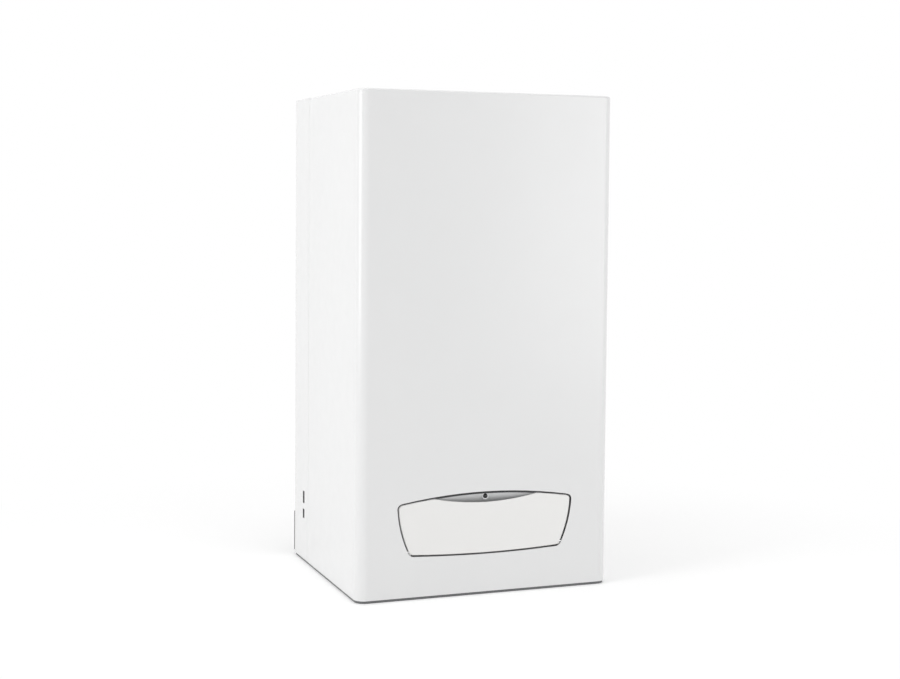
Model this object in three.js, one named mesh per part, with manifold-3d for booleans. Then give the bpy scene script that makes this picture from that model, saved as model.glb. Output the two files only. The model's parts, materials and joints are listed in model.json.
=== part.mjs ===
// Wall-hung combination boiler: white sheet-metal casing with a drop-down control flap,
// and inside it the console, the sealed combustion chamber and the water side.
// Millimetres. +Z is up, +X is to the right, -Y is the front and +Y is the wall.
// The origin is the middle of the base, on the surface that the bottom cover rests on.
import * as THREE from 'three';
import { mergeVertices } from 'three/addons/utils/BufferGeometryUtils.js';
import { ConvexGeometry } from 'three/addons/geometries/ConvexGeometry.js';
import Module from 'manifold-3d';

const wasm = await Module();
wasm.setup();

// ---------------------------------------------------------------- driving dimensions

// Overall body
const width = 400;
const height = 740;
const depth = 345;

// Gaps between neighbouring pieces
const fit = 0.3;
const seamGap = 0.8;

// Casing and chassis sheet metal
const casingSheet = 1;
const chassisSheet = 1.2;
const chassisDepth = 84;
const bendRadius = 16;
const topEdgeRadius = 3.5;
const foldedLip = 15;
const flangeReach = 40;
const flangeMargin = 16;

// Rails that hold the chassis off the wall
const railDepth = 5;
const lowerRailBottom = 7;
const lowerRailHeight = 64;
const upperRailHeight = 60;
const upperRailDrop = 30;
const upperRailInset = 50;
const hookSlotWidth = 36;
const hookSlotHeight = 12;
const hookSlotSpacing = 200;

// Side slots of the chassis, one above the other
const sideSlotWidth = 10;
const sideSlotFromWall = 57.5;
const upperSideSlot = [94, 114];
const lowerSideSlot = [70, 85];

// Bottom cover
const coverPlate = 2;
const coverRim = 3.5;
const coverInset = 1.5;
const ventSlotLength = 60;
const ventSlotWidth = 6;
const ventSlotPitch = 32;
const ventSlotCount = 5;
const ventSlotSetback = 92.5;
const pipeCutoutReach = 18;
const pipeCutoutHalfDepth = 17;

// Opening for the control flap: heights above the base and half widths
const openingCrown = 153.4;
const openingShoulder = [129, 142.5];
const openingUpperSide = [138.7, 134];
const openingSideBulge = [137.1, 102.5];
const openingLowerSide = [123, 71];
const openingHeel = [113, 63.3];
const openingFloor = 60;

// Control flap
const flapGap = 2.2;
const flapSheet = 1.6;
const flapCrown = 1.2;
const scoopHalfWidth = 82;
const scoopDepth = 13.2;
const flapAxisDepth = 3;
const flapAxisRise = 10.5;
const earWidth = 7;
const earInset = 4;
const earHalfHeight = 2.6;
const pinRadius = 1.25;
const hingeBracket = 3;
const hingeBracketDepth = 9.5;

// Silver surround of the finger recess and its lamp
const surroundReach = 10;
const surroundDrop = 20;
const surroundBackset = 12;
const surroundTopMargin = 5;
const lampRadius = 3.5;
const lampBezelWidth = 1;
const lampBelowCrown = 7.8;
const lampSeatDepth = 1.5;
const lampFlush = 1;
const lampStemGap = 2;
const domeShare = 0.6;

// Console behind the flap
const fasciaSetback = 18.5;
const fasciaSheet = 3;
const fasciaSideMargin = 7.3;
const fasciaMarginBelow = 8;
const fasciaMarginAbove = 12.6;
const fasciaCorner = 8;
const housingMargin = 4;
const housingDepth = 56;
const housingWall = 2.5;
const cableSlotSize = [40, 10];
const cableSlotDrop = 20;
const boardSetback = 16;
const boardSheet = 1.6;
const boardHalfHeight = 44;
const boardSideGap = 16;
const boardGaugeGap = 8;
const boardSink = 0.5;
const postRadius = 3.5;
const controlsHeight = 104;

// Components on the back of the board: size across, up and out, then the place of the middle
// from the board's left end and from its bottom edge
const transformerBlock = [34, 28, 24, 30, 22];
const firstRelay = [18, 15, 15, 72, 20];
const secondRelay = [18, 15, 15, 98, 20];
const terminalStrip = [60, 10, 11, 60, 80];
const processor = [24, 24, 3, 150, 66];
const capacitorRadius = 8;
const capacitorLength = 22;
const capacitorPlace = [130, 22];
const rotaryControl = [14, 14];
const rotaryGap = 4;
const shaftGap = 2;
const switchSize = [6, 6];
const displayModuleGap = 1.5;
const displayModuleInset = 1;

// Knobs, buttons, display and gauge
const knobRadius = 17;
const knobDepth = 13;
const knobShaft = 3;
const knobPlaces = [-95, -48];
const knobSkirt = 4;
const knobGripShare = 0.78;
const knobGripBack = 2;
const pointerWidth = 3;
const pointerProud = 1;
const pointerShare = 0.9;
const buttonSize = [11, 7];
const buttonCount = 4;
const buttonPitch = 16;
const buttonDrop = 24;
const buttonProud = 2.5;
const buttonTravel = 1.2;
const retainerSheet = 2;
const retainerMargin = 1;
const displayCentre = [12, 5];
const displaySize = [58, 32];
const displayFlange = 2;
const displayFlangeSheet = 1.2;
const displayInset = 1;
const gaugeX = 88;
const gaugeRadius = 18;
const gaugeBezel = 2.5;
const gaugeDepth = 22;
const gaugeWall = 1.5;
const needleLength = 13;
const needleTail = 4;
const needleWidth = 1.6;
const needleSheet = 1;
const needleHub = 2.4;
const needlePivot = 1;
const needleLift = 1.5;
const pivotDepth = 4;
const dialSetback = 8;
const gaugeBezelProud = 2;
const capillaryRadius = 5;
const capillaryLength = 8;
const lensSheet = 1.5;
const lensSetback = 0.2;

// Console brackets
const bracketSheet = 1.5;
const bracketBottom = 60;
const bracketTop = 105;
const bracketOverlap = 10;

// Sealed chamber
const chamberSheet = 1.2;
const chamberSideGap = 30;
const chamberSetback = 22.5;
const chamberFromWall = 80.5;
const chamberBottom = 262;
const chamberHeadroom = 8;
const chamberLip = 12;
const screwRadius = 4;
const screwHead = 3;
const screwLength = 8;
const pipeHoleGap = 1;
const collarSeat = 3;

// Firebox, burner, heat exchanger and flue hood
const fireboxSideGap = 40;
const fireboxSetback = 55;
const fireboxBackGap = 37;
const fireboxWall = 12;
const fireboxSill = 18;
const burnerBars = 9;
const burnerBarWidth = 10;
const burnerSideGap = 10;
const burnerFrontGap = 5;
const burnerBackGap = 3;
const burnerRise = 12;
const manifoldDepth = 26;
const manifoldHeight = 20;
const burnerRail = 6;
const burnerBarRise = 10;
const burnerTopRise = 40;
const burnerLap = 6;
const burnerLeg = [8, 6];
const burnerLegLap = 5;
const exchangerHeight = 60;
const finCount = 7;
const finSheet = 1.2;
const exchangerTubes = 4;
const exchangerTubeRadius = 8;
const exchangerFrame = 2;
const exchangerStub = 6;
const exchangerBore = 20;
const finEndGap = 12;
const finTopGap = 8;
const finLap = 1;
const hoodRise = 70;
const hoodSheet = 1.5;
const hoodNeck = 24;
const hoodMargin = 18;
const hoodFrontGap = 19.7;

// Fan and flue
const fanDrop = 92;
const fanRadius = 62;
const fanWidth = 50;
const fanWall = 2;
const fanInletRadius = 28;
const impellerRadius = 48;
const impellerBlades = 10;
const fanShaft = 4;
const fanMotorRadius = 30;
const fanMotorLength = 36;
const fanMotorCap = 4;
const fanShaftReach = 12;
const wheelFrontGap = 6;
const wheelBackGap = 8;
const wheelSheet = 2;
const wheelRim = 10;
const wheelHub = 14;
const fanBlade = [9, 1.5];
const bladeTurn = 0.5;
const flueFromWall = 152.5;
const flueRadius = 30;
const airRadius = 50;
const flueSheet = 1.5;
const flueFlange = 12;
const flueProud = 8;
const flueFlangeSheet = 3;
const flueRib = [3, 8];
const flueRibRise = 8;

// Expansion vessel
const vesselSideGap = 40;
const vesselBottom = 300;
const vesselBelowRail = 20;
const vesselDepth = 66;
const vesselCorner = 45;
const vesselEdge = 14;
const vesselSheet = 1.5;
const vesselPortX = 48;
const vesselPortDrop = 10;
const vesselPortWall = 3;
const vesselPipeRise = 100;

// Pipes and the five connections, left to right
const pipesFromWall = 92.5;
const heatingTailX = 130;
const waterTailX = 65;
const wideTail = 13.2;
const narrowTail = 10.5;
const tailWall = 3.2;
const nutHeight = 14;
const nutBottom = 20;
const heatingPipe = 8;
const gasPipe = 8;
const vesselPipe = 5;
const pipeWall = 1.5;
const pipeBend = 12;
const wideBend = 14;
const riserSideGap = 20;
const flowPipeRise = 85;
const returnPipeRise = 36;
const nutShare = 1.38;

// Water blocks, plate heat exchanger, pump and valves
const blockHalfDepth = 18;
const blockBottom = 45;
const blockTop = 95;
const blockMargin = 14;
const returnBlockStart = 40;
const flowBlockStart = 48;
const blockRoof = 15;
const portDepth = 12;
const stubRise = 10;
const stubWall = 4;
const plateHalfWidth = 90;
const plateHeight = 60;
const plateRise = 10;
const plateLandShare = 0.6;
const platePitch = 4;
const plateCount = 10;
const plateGroove = 1.5;
const pumpX = 100;
const pumpHeight = 148;
const pumpRadius = 38;
const pumpCavity = 28;
const pumpImpellerRadius = 25;
const pumpMotorRadius = 34;
const pumpMotorLength = 50;
const pumpShaft = 4;
const pumpSetback = 2;
const pumpFoot = 18;
const pumpFootInset = 4;
const pumpStubRise = 9;
const pumpFrontWall = 8;
const pumpBackWall = 10;
const pumpPort = 9;
const pumpWheelFront = 11;
const pumpWheelBack = 25;
const pumpBlades = 6;
const pumpBlade = [14, 2];
const pumpBladeTurn = 0.6;
const pumpBladePlace = 15;
const pumpShaftReach = 8;
const motorCapRadius = 12;
const motorCap = 4;
const motorBox = [10, 40, 14];
const motorBoxInset = 8;
const motorBore = 12;
const diverterX = -100;
const diverterHeight = 75;
const diverterBoss = 14;
const diverterBossProud = 6;
const diverterMotorSide = 44;
const diverterMotorLength = 42;
const diverterCap = 8;
const diverterCapRadius = 18;
const diverterBore = 26;
const spindleRadius = 3;
const spindleTravel = 8;
const spindleFront = 26;
const spindleBack = 18;
const safetyX = 120;
const safetyHeight = 75;
const safetyRadius = 11;
const safetyLength = 24;
const safetySpout = 7;
const safetyBore = 5;
const safetyPort = 3;
const reliefStem = 2.5;
const reliefCapRadius = 13;
const reliefCapLength = 16;
const reliefGrip = [4, 22];
const reliefGripProud = 3;
const reliefStemReach = 7;
const tapX = 95;
const tapKnobRadius = 10;
const tapKnobTop = 14;
const tapKnobLength = 19;
const tapWing = [4, 18];
const tapStem = 4;
const tapStemReach = 12;
const ventRadius = 11;
const ventHeight = 80;
const ventPumpGap = 1;
const ventNeck = 12;
const ventNose = 10;
const gasValveBottom = 150;
const gasValveHeight = 65;
const gasValveHalfWidth = 32;
const gasOutletSetback = 35;
const gasOutletWall = 15;
const solenoidRadius = 14;
const solenoidLength = 25;
const solenoidRise = 35;
const gasStub = 10;
const gasOutletRise = 7;
const gasBore = 20;
const gasRiserSetback = 30;
const gasRunDrop = 16;

// Cable gland in the bottom cover
const glandSideGap = 35;
const glandFromWall = 172.5;
const glandRadius = 11;
const glandNeckShare = 0.7;
const glandNut = 10;
const glandHeight = 14;

// ---------------------------------------------------------------- derived planes

const halfWidth = width / 2;
const frontY = -depth / 2;
const wallY = depth / 2;
const chassisBack = wallY - railDepth;
const backPlateFront = chassisBack - chassisSheet;
const seamY = wallY - chassisDepth;
const casingBottom = coverRim + fit;
const flangeOuter = halfWidth - casingSheet - 2 * fit;
const flangeInner = flangeOuter - chassisSheet;
const topPanelTop = height - chassisSheet - fit;
const topPanelBottom = topPanelTop - chassisSheet;
const upperRailTop = height - upperRailDrop;
const upperRailBottom = upperRailTop - upperRailHeight;
const hookSlotZ = (upperRailTop + upperRailBottom) / 2;
const sideSlotY = wallY - sideSlotFromWall;
const surroundHalfWidth = scoopHalfWidth + surroundReach;
const fasciaHalfWidth = openingUpperSide[0] + fasciaSideMargin;
const fasciaBottom = openingFloor - fasciaMarginBelow;
const fasciaTop = openingCrown + fasciaMarginAbove;
const fasciaY = frontY + fasciaSetback;
const fasciaBack = fasciaY + fasciaSheet;
const boardY = fasciaBack + boardSetback;
const boardLeft = boardSideGap - fasciaHalfWidth;
const boardRight = gaugeX - gaugeRadius - boardGaugeGap;
const dialY = fasciaY + dialSetback;
const chamberHalfWidth = halfWidth - chamberSideGap;
const chamberFront = frontY + chamberSetback;
const chamberBack = wallY - chamberFromWall;
const chamberTop = height - chamberHeadroom;
const chamberFloor = chamberBottom + chamberSheet;
const fireboxHalfWidth = chamberHalfWidth - fireboxSideGap;
const fireboxFront = chamberFront + fireboxSetback;
const fireboxBack = chamberBack - fireboxBackGap;
const fanHeight = chamberTop - fanDrop;
const hoodHalfWidth = fanInletRadius + hoodMargin;
const hoodThroat = fanHeight - hoodHalfWidth - hoodNeck;
const exchangerTop = hoodThroat - hoodRise;
const fireboxTop = exchangerTop - exchangerHeight;
const exchangerTubeZ = fireboxTop + exchangerHeight / 2;
const manifoldZ = chamberFloor + burnerRise;
const flueY = wallY - flueFromWall;
const fanFront = flueY - fanWidth / 2;
const fanBack = flueY + fanWidth / 2;
const fanX = -fanRadius / 2;
const flapAxisY = frontY + flapAxisDepth;
const flapAxisZ = openingFloor + flapAxisRise;
const vesselHalfWidth = halfWidth - vesselSideGap;
const vesselTop = upperRailBottom - vesselBelowRail;
const pipeY = wallY - pipesFromWall;
const riserX = chamberHalfWidth - riserSideGap;
const riserY = (fireboxFront + fireboxBack) / 2;
const blockFront = pipeY - blockHalfDepth;
const blockBack = pipeY + blockHalfDepth;
const flowBlockEnd = riserX + blockMargin;
const ventX = pumpX + pumpRadius + ventRadius + ventPumpGap;
const returnBlockEnd = ventX + blockMargin;
const pumpFront = blockFront - pumpSetback;
const gasOutletY = pipeY - gasOutletSetback;
const gasValveTop = gasValveBottom + gasValveHeight;
const gasRiserY = fireboxFront + gasRiserSetback;
const glandPlace = [halfWidth - glandSideGap, wallY - glandFromWall];
const glandNeck = glandRadius * glandNeckShare;

// ---------------------------------------------------------------- solids

// A closed three.js geometry as a solid that can be joined and cut.
function solid(geometry) {
  const bare = geometry.clone();
  bare.deleteAttribute('normal');
  bare.deleteAttribute('uv');
  const merged = mergeVertices(bare, 1e-4);
  const position = merged.attributes.position;
  const triangles = [];
  for (let i = 0; i < merged.index.count; i += 3) {
    const corner = [0, 1, 2].map((k) => merged.index.getX(i + k));
    if (new Set(corner).size === 3) triangles.push(...corner);
  }
  const shape = new wasm.Mesh({
    numProp: 3,
    vertProperties: Float32Array.from(position.array),
    triVerts: Uint32Array.from(triangles),
  });
  shape.merge();
  return new wasm.Manifold(shape);
}

function joined(first, ...others) {
  return others.reduce((sum, next) => sum.add(next), first);
}

function cut(first, ...others) {
  return others.reduce((rest, next) => rest.subtract(next), first);
}

// The triangles of a solid as a flat-shaded geometry.
function geometryOf(body) {
  const mesh = body.getMesh();
  const points = [];
  for (let i = 0; i < mesh.vertProperties.length; i += mesh.numProp) {
    points.push(mesh.vertProperties[i], mesh.vertProperties[i + 1], mesh.vertProperties[i + 2]);
  }
  const geometry = new THREE.BufferGeometry();
  geometry.setAttribute('position', new THREE.Float32BufferAttribute(points, 3));
  geometry.setIndex(Array.from(mesh.triVerts));
  geometry.computeVertexNormals();
  return geometry;
}

// A box between two corners.
function box(x0, x1, y0, y1, z0, z1) {
  const geometry = new THREE.BoxGeometry(x1 - x0, y1 - y0, z1 - z0);
  geometry.translate((x0 + x1) / 2, (y0 + y1) / 2, (z0 + z1) / 2);
  return solid(geometry);
}

// Turns a geometry made along +Z so that it runs along the named axis.
function alongAxis(geometry, axis) {
  if (axis === 'x') {
    geometry.applyMatrix4(new THREE.Matrix4().set(0, 0, 1, 0, 1, 0, 0, 0, 0, 1, 0, 0, 0, 0, 0, 1));
  }
  if (axis === 'y') geometry.rotateX(Math.PI / 2);
  return geometry;
}

// A round bar along an axis, between two stations; centre gives the other two coordinates.
function bar(axis, radius, from, to, centre, sides = 16) {
  const geometry = new THREE.CylinderGeometry(radius, radius, to - from, sides);
  if (axis === 'x') geometry.rotateZ(Math.PI / 2);
  if (axis === 'z') geometry.rotateX(Math.PI / 2);
  const middle = (from + to) / 2;
  const [a, b] = centre;
  if (axis === 'x') geometry.translate(middle, a, b);
  if (axis === 'y') geometry.translate(a, middle, b);
  if (axis === 'z') geometry.translate(a, b, middle);
  return solid(geometry);
}

// An outline extruded along an axis. It is drawn in (x, y) for z, (x, z) for y, (y, z) for x.
function prism(shape, axis, from, to, curveSegments = 6) {
  const geometry = new THREE.ExtrudeGeometry(shape, {
    depth: to - from,
    bevelEnabled: false,
    curveSegments,
  });
  alongAxis(geometry, axis);
  if (axis === 'x') geometry.translate(from, 0, 0);
  if (axis === 'y') geometry.translate(0, to, 0);
  if (axis === 'z') geometry.translate(0, 0, from);
  return solid(geometry);
}

function roundedRectangle(x0, x1, y0, y1, radius) {
  const shape = new THREE.Shape();
  shape.moveTo(x0 + radius, y0);
  shape.lineTo(x1 - radius, y0);
  shape.absarc(x1 - radius, y0 + radius, radius, -Math.PI / 2, 0);
  shape.lineTo(x1, y1 - radius);
  shape.absarc(x1 - radius, y1 - radius, radius, 0, Math.PI / 2);
  shape.lineTo(x0 + radius, y1);
  shape.absarc(x0 + radius, y1 - radius, radius, Math.PI / 2, Math.PI);
  shape.lineTo(x0, y0 + radius);
  shape.absarc(x0 + radius, y0 + radius, radius, Math.PI, 1.5 * Math.PI);
  return shape;
}

// A regular polygon, such as a nut or the section of a pipe.
function polygon(sides, radius, centreX = 0, centreY = 0) {
  const points = [];
  for (let i = 0; i < sides; i += 1) {
    const angle = (2 * Math.PI * (i + 0.5)) / sides;
    points.push(new THREE.Vector2(centreX + radius * Math.cos(angle), centreY + radius * Math.sin(angle)));
  }
  return points;
}

// A pipe's centre line: straight runs between corners, with each corner rounded to one bend.
class PipeRoute extends THREE.Curve {
  constructor(corners, bend) {
    super();
    const points = corners.map((corner) => new THREE.Vector3(...corner));
    this.stations = [points[0]];
    this.tangents = [points[1].clone().sub(points[0]).normalize()];
    for (let i = 1; i < points.length - 1; i += 1) {
      this.addBend(points[i - 1], points[i], points[i + 1], bend);
    }
    const last = points.length - 1;
    this.stations.push(points[last]);
    this.tangents.push(points[last].clone().sub(points[last - 1]).normalize());
  }

  addBend(before, corner, after, bend) {
    const enter = corner.clone().sub(before).normalize();
    const leave = after.clone().sub(corner).normalize();
    const turn = enter.angleTo(leave);
    const reach = bend * Math.tan(turn / 2);
    const start = corner.clone().addScaledVector(enter, -reach);
    const inward = leave.clone().addScaledVector(enter, -Math.cos(turn)).normalize();
    const steps = 4;
    for (let i = 0; i <= steps; i += 1) {
      const angle = (turn * i) / steps;
      const point = start.clone().addScaledVector(enter, bend * Math.sin(angle));
      this.stations.push(point.addScaledVector(inward, bend * (1 - Math.cos(angle))));
      const tangent = enter.clone().multiplyScalar(Math.cos(angle));
      this.tangents.push(tangent.addScaledVector(inward, Math.sin(angle)));
    }
  }

  get runs() {
    return this.stations.length - 1;
  }

  blend(values, t) {
    const place = t * this.runs;
    const index = Math.min(Math.floor(place + 1e-6), this.runs - 1);
    return values[index].clone().lerp(values[index + 1], place - index);
  }

  getPoint(t) {
    return this.blend(this.stations, t);
  }

  getPointAt(t) {
    return this.blend(this.stations, t);
  }

  getTangent(t) {
    return this.blend(this.tangents, t).normalize();
  }

  getTangentAt(t) {
    return this.getTangent(t);
  }
}

// A hollow pipe along a route of corners.
function pipe(corners, radius, wall, bend, sides = 8) {
  const section = new THREE.Shape(polygon(sides, radius));
  section.holes.push(new THREE.Path(polygon(sides, radius - wall)));
  const route = new PipeRoute(corners, bend);
  return solid(new THREE.ExtrudeGeometry(section, { steps: route.runs, extrudePath: route }));
}

// ---------------------------------------------------------------- outer shell

// The casing's plan: straight sides and a flat front with rounded vertical bends.
function casingPlan(inset, back) {
  const side = halfWidth - inset;
  const front = frontY + inset;
  const radius = bendRadius - inset;
  const shape = new THREE.Shape();
  shape.moveTo(side, back);
  shape.lineTo(-side, back);
  shape.lineTo(-side, front + radius);
  shape.absarc(-side + radius, front + radius, radius, Math.PI, 1.5 * Math.PI);
  shape.lineTo(side - radius, front);
  shape.absarc(side - radius, front + radius, radius, 1.5 * Math.PI, 2 * Math.PI);
  return shape;
}

// The casing's plan raised to a block whose top edge is rounded over.
function casingBlock(inset, bottom, back) {
  const radius = topEdgeRadius - inset;
  const geometry = new THREE.ExtrudeGeometry(casingPlan(inset, back), {
    depth: height - inset - radius - bottom,
    bevelThickness: radius,
    bevelSize: radius,
    bevelOffset: -radius,
    bevelSegments: 3,
    curveSegments: 6,
  });
  geometry.translate(0, 0, bottom);
  return solid(geometry);
}

// The outline of the flap's opening, drawn in by inset all round.
function openingOutline(inset) {
  const crown = openingCrown - inset;
  const floor = openingFloor + inset;
  const [shoulderX, shoulderZ] = [openingShoulder[0], openingShoulder[1] - inset];
  const [upperX, upperZ] = [openingUpperSide[0] - inset, openingUpperSide[1]];
  const [bulgeX, bulgeZ] = [openingSideBulge[0] - inset, openingSideBulge[1]];
  const [lowerX, lowerZ] = [openingLowerSide[0] - inset, openingLowerSide[1]];
  const [heelX, heelZ] = [openingHeel[0], openingHeel[1] + inset];
  const topSlope = (2 * (crown - shoulderZ)) / shoulderX;
  const topCorner = [upperX, shoulderZ - (upperX - shoulderX) * topSlope];
  const sideSlope = (bulgeZ - lowerZ) / (bulgeX - lowerX);
  const heelCorner = [lowerX - (lowerZ - heelZ) / sideSlope, heelZ];
  const shape = new THREE.Shape();
  shape.moveTo(0, floor);
  shape.quadraticCurveTo(heelX / 2, floor, heelX, heelZ);
  shape.quadraticCurveTo(...heelCorner, lowerX, lowerZ);
  shape.quadraticCurveTo(bulgeX, bulgeZ, upperX, upperZ);
  shape.quadraticCurveTo(...topCorner, shoulderX, shoulderZ);
  shape.quadraticCurveTo(shoulderX / 2, crown, 0, crown);
  shape.quadraticCurveTo(-shoulderX / 2, crown, -shoulderX, shoulderZ);
  shape.quadraticCurveTo(-topCorner[0], topCorner[1], -upperX, upperZ);
  shape.quadraticCurveTo(-bulgeX, bulgeZ, -lowerX, lowerZ);
  shape.quadraticCurveTo(-heelCorner[0], heelCorner[1], -heelX, heelZ);
  shape.quadraticCurveTo(-heelX / 2, floor, 0, floor);
  return shape;
}

// Where the flap's hinge sits, measured outwards from the middle.
const bracketX = openingLowerSide[0] + hingeBracket / 2;
const earX = openingLowerSide[0] - earInset - earWidth;
const pinEnd = bracketX + hingeBracket + fit;

function frontCasing() {
  const beyond = seamY + 30;
  const cutPlane = seamY - seamGap / 2;
  const outer = casingBlock(0, casingBottom - 2 * topEdgeRadius, beyond);
  const inner = casingBlock(casingSheet, casingBottom + topEdgeRadius, beyond + foldedLip);
  const wall = casingSheet;
  const throughX = halfWidth - foldedLip;
  const shell = cut(
    outer,
    box(-width, width, -depth, depth, -height, casingBottom),
    box(-width, width, cutPlane, depth, -height, 2 * height),
    inner,
    prism(casingPlan(wall, beyond), 'z', casingBottom + wall, casingBottom + 4 * topEdgeRadius),
    box(-throughX, throughX, frontY + foldedLip, depth, -height, 2 * height),
    prism(openingOutline(0), 'y', frontY - 1, frontY + 2 * casingSheet + 1),
  );
  const brackets = [-1, 1].map((side) => hingeBracketOf(side));
  return joined(shell, ...brackets);
}

// One ear of the casing that carries a hinge pin of the flap.
function hingeBracketOf(side) {
  const x0 = side < 0 ? -bracketX - hingeBracket : bracketX;
  const bottom = flapAxisZ - flapAxisRise;
  const top = flapAxisZ + earHalfHeight;
  const plate = box(x0, x0 + hingeBracket, frontY + casingSheet / 2, frontY + hingeBracketDepth, bottom, top);
  return plate.subtract(bar('x', pinRadius + fit, x0 - 1, x0 + hingeBracket + 1, [flapAxisY, flapAxisZ], 12));
}

function controlFlap() {
  const reach = openingUpperSide[0];
  const radius = (reach * reach) / (2 * flapCrown);
  const steps = 12;
  const front = [];
  for (let i = 0; i <= steps; i += 1) {
    const x = -reach + (2 * reach * i) / steps;
    front.push(new THREE.Vector2(x, frontY + radius - Math.sqrt(radius * radius - x * x)));
  }
  const back = front.map((point) => new THREE.Vector2(point.x, point.y + flapSheet)).reverse();
  const sheet = prism(new THREE.Shape([...front, ...back]), 'z', openingFloor, openingCrown);
  const outline = prism(openingOutline(flapGap), 'y', frontY - flapSheet, frontY + 2 * flapSheet);
  const panel = sheet.intersect(outline).subtract(fingerScoop());
  return cut(joined(panel, flapEar(-1), flapEar(1)), pinGroove(-1), pinGroove(1));
}

// The part of the flap's top edge that is scooped out for the fingers.
function fingerScoop() {
  const sag = (openingCrown - openingShoulder[1]) * (scoopHalfWidth / openingShoulder[0]) ** 2;
  const end = openingCrown - flapGap - sag;
  const low = openingCrown - flapGap - scoopDepth;
  const above = openingCrown + flapGap;
  const shape = new THREE.Shape();
  shape.moveTo(-scoopHalfWidth, above);
  shape.lineTo(-scoopHalfWidth, end);
  shape.quadraticCurveTo(0, 2 * low - end, scoopHalfWidth, end);
  shape.lineTo(scoopHalfWidth, above);
  return prism(shape, 'y', frontY - flapSheet, frontY + 2 * flapSheet + flapCrown, 14);
}

function flapEar(side) {
  const x0 = side < 0 ? -earX - earWidth : earX;
  const x1 = x0 + earWidth;
  const [z0, z1] = [flapAxisZ - earHalfHeight, flapAxisZ + earHalfHeight];
  return box(x0, x1, frontY + flapSheet, flapAxisY + earHalfHeight, z0, z1);
}

// The groove that a hinge pin lies in, from inside the ear to past the flap's edge.
function pinGroove(side) {
  const ends = [side * earX, side * bracketX].sort((a, b) => a - b);
  return bar('x', pinRadius + fit, ends[0], ends[1], [flapAxisY, flapAxisZ], 12);
}

function hingePin(side) {
  const ends = [side * (earX + fit), side * pinEnd].sort((a, b) => a - b);
  return bar('x', pinRadius, ends[0], ends[1], [flapAxisY, flapAxisZ], 12);
}

// Back plate with shallow side walls, folded lips and the flanges that the casing slides over.
function rearChassis() {
  const wallFront = seamY + seamGap / 2;
  const inside = halfWidth - chassisSheet;
  const lipX = halfWidth - foldedLip;
  const shell = cut(
    box(-halfWidth, halfWidth, wallFront, chassisBack, casingBottom, height),
    box(-inside, inside, -depth, backPlateFront, casingBottom + chassisSheet, height - chassisSheet),
    box(-lipX, lipX, -depth, backPlateFront - foldedLip, -height, 2 * height),
  );
  const flanges = [-1, 1].map((side) => sideFlange(side, wallFront));
  const slots = [-1, 1].flatMap((side) => [upperSideSlot, lowerSideSlot].map(([z0, z1]) => {
    const x = side * halfWidth;
    const [y0, y1] = [sideSlotY - sideSlotWidth / 2, sideSlotY + sideSlotWidth / 2];
    return box(x - foldedLip, x + foldedLip, y0, y1, z0, z1);
  }));
  return cut(joined(shell, ...flanges), ...slots, ...hookSlots());
}

function sideFlange(side, wallFront) {
  const bottom = casingBottom + flangeMargin;
  const top = height - flangeMargin;
  const [a, b] = [side * flangeInner, side * flangeOuter].sort((p, q) => p - q);
  const [c, d] = [side * flangeInner, side * (halfWidth - chassisSheet / 2)].sort((p, q) => p - q);
  const tongue = box(a, b, seamY - flangeReach, wallFront + foldedLip / 2, bottom, top);
  const joggle = box(c, d, wallFront, wallFront + foldedLip / 2, bottom, top);
  return tongue.add(joggle);
}

function hookSlots() {
  return [-1, 1].map((side) => {
    const x = (side * hookSlotSpacing) / 2;
    const [x0, x1] = [x - hookSlotWidth / 2, x + hookSlotWidth / 2];
    const [z0, z1] = [hookSlotZ - hookSlotHeight / 2, hookSlotZ + hookSlotHeight / 2];
    return box(x0, x1, backPlateFront - 1, wallY + 1, z0, z1);
  });
}

// A shallow channel that stands the back plate off the wall.
function rail(reach, bottom, top) {
  return cut(
    box(-reach, reach, chassisBack, wallY, bottom, top),
    box(-width, width, chassisBack - 1, wallY - chassisSheet, bottom + chassisSheet, top - chassisSheet),
  );
}

function hangingRail() {
  return cut(rail(halfWidth - upperRailInset, upperRailBottom, upperRailTop), ...hookSlots());
}

function lowerRail() {
  return rail(halfWidth - coverInset, lowerRailBottom, lowerRailBottom + lowerRailHeight);
}

function topPanel() {
  const plan = casingPlan(casingSheet + topEdgeRadius, backPlateFront - fit);
  const panel = prism(plan, 'z', topPanelBottom, topPanelTop);
  return panel.subtract(bar('z', airRadius + fit, topPanelBottom - 1, topPanelTop + 1, [0, flueY], 32));
}

// A shallow tray with one cut-out for the five connections and the filling tap.
function bottomCover() {
  const back = backPlateFront - fit;
  const tray = cut(
    prism(casingPlan(coverInset, back), 'z', 0, coverRim),
    prism(casingPlan(coverInset + coverPlate, back - coverPlate), 'z', coverPlate, coverRim + 1),
  );
  const cutoutX = heatingTailX + pipeCutoutReach;
  const [cutoutFront, cutoutBack] = [pipeY - pipeCutoutHalfDepth, pipeY + pipeCutoutHalfDepth];
  const cutout = box(-cutoutX, cutoutX, cutoutFront, cutoutBack, -1, coverRim + 1);
  const vents = [];
  for (let i = 0; i < ventSlotCount; i += 1) {
    const x = (i - (ventSlotCount - 1) / 2) * ventSlotPitch;
    const middle = frontY + ventSlotSetback;
    const [y0, y1] = [middle - ventSlotLength / 2, middle + ventSlotLength / 2];
    vents.push(box(x - ventSlotWidth / 2, x + ventSlotWidth / 2, y0, y1, -1, coverRim + 1));
  }
  const glandHole = bar('z', glandNeck + fit, -1, coverRim + 1, glandPlace, 16);
  return cut(tray, cutout, ...vents, glandHole);
}

function cableGland() {
  const top = coverPlate + glandHeight;
  const body = joined(
    prism(new THREE.Shape(polygon(6, glandRadius, ...glandPlace)), 'z', coverPlate, coverPlate + glandNut),
    bar('z', glandNeck, coverPlate / 4, top, glandPlace, 16),
  );
  return body.subtract(bar('z', glandNeck / 2, -1, top + 1, glandPlace, 12));
}

// ---------------------------------------------------------------- console

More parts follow.
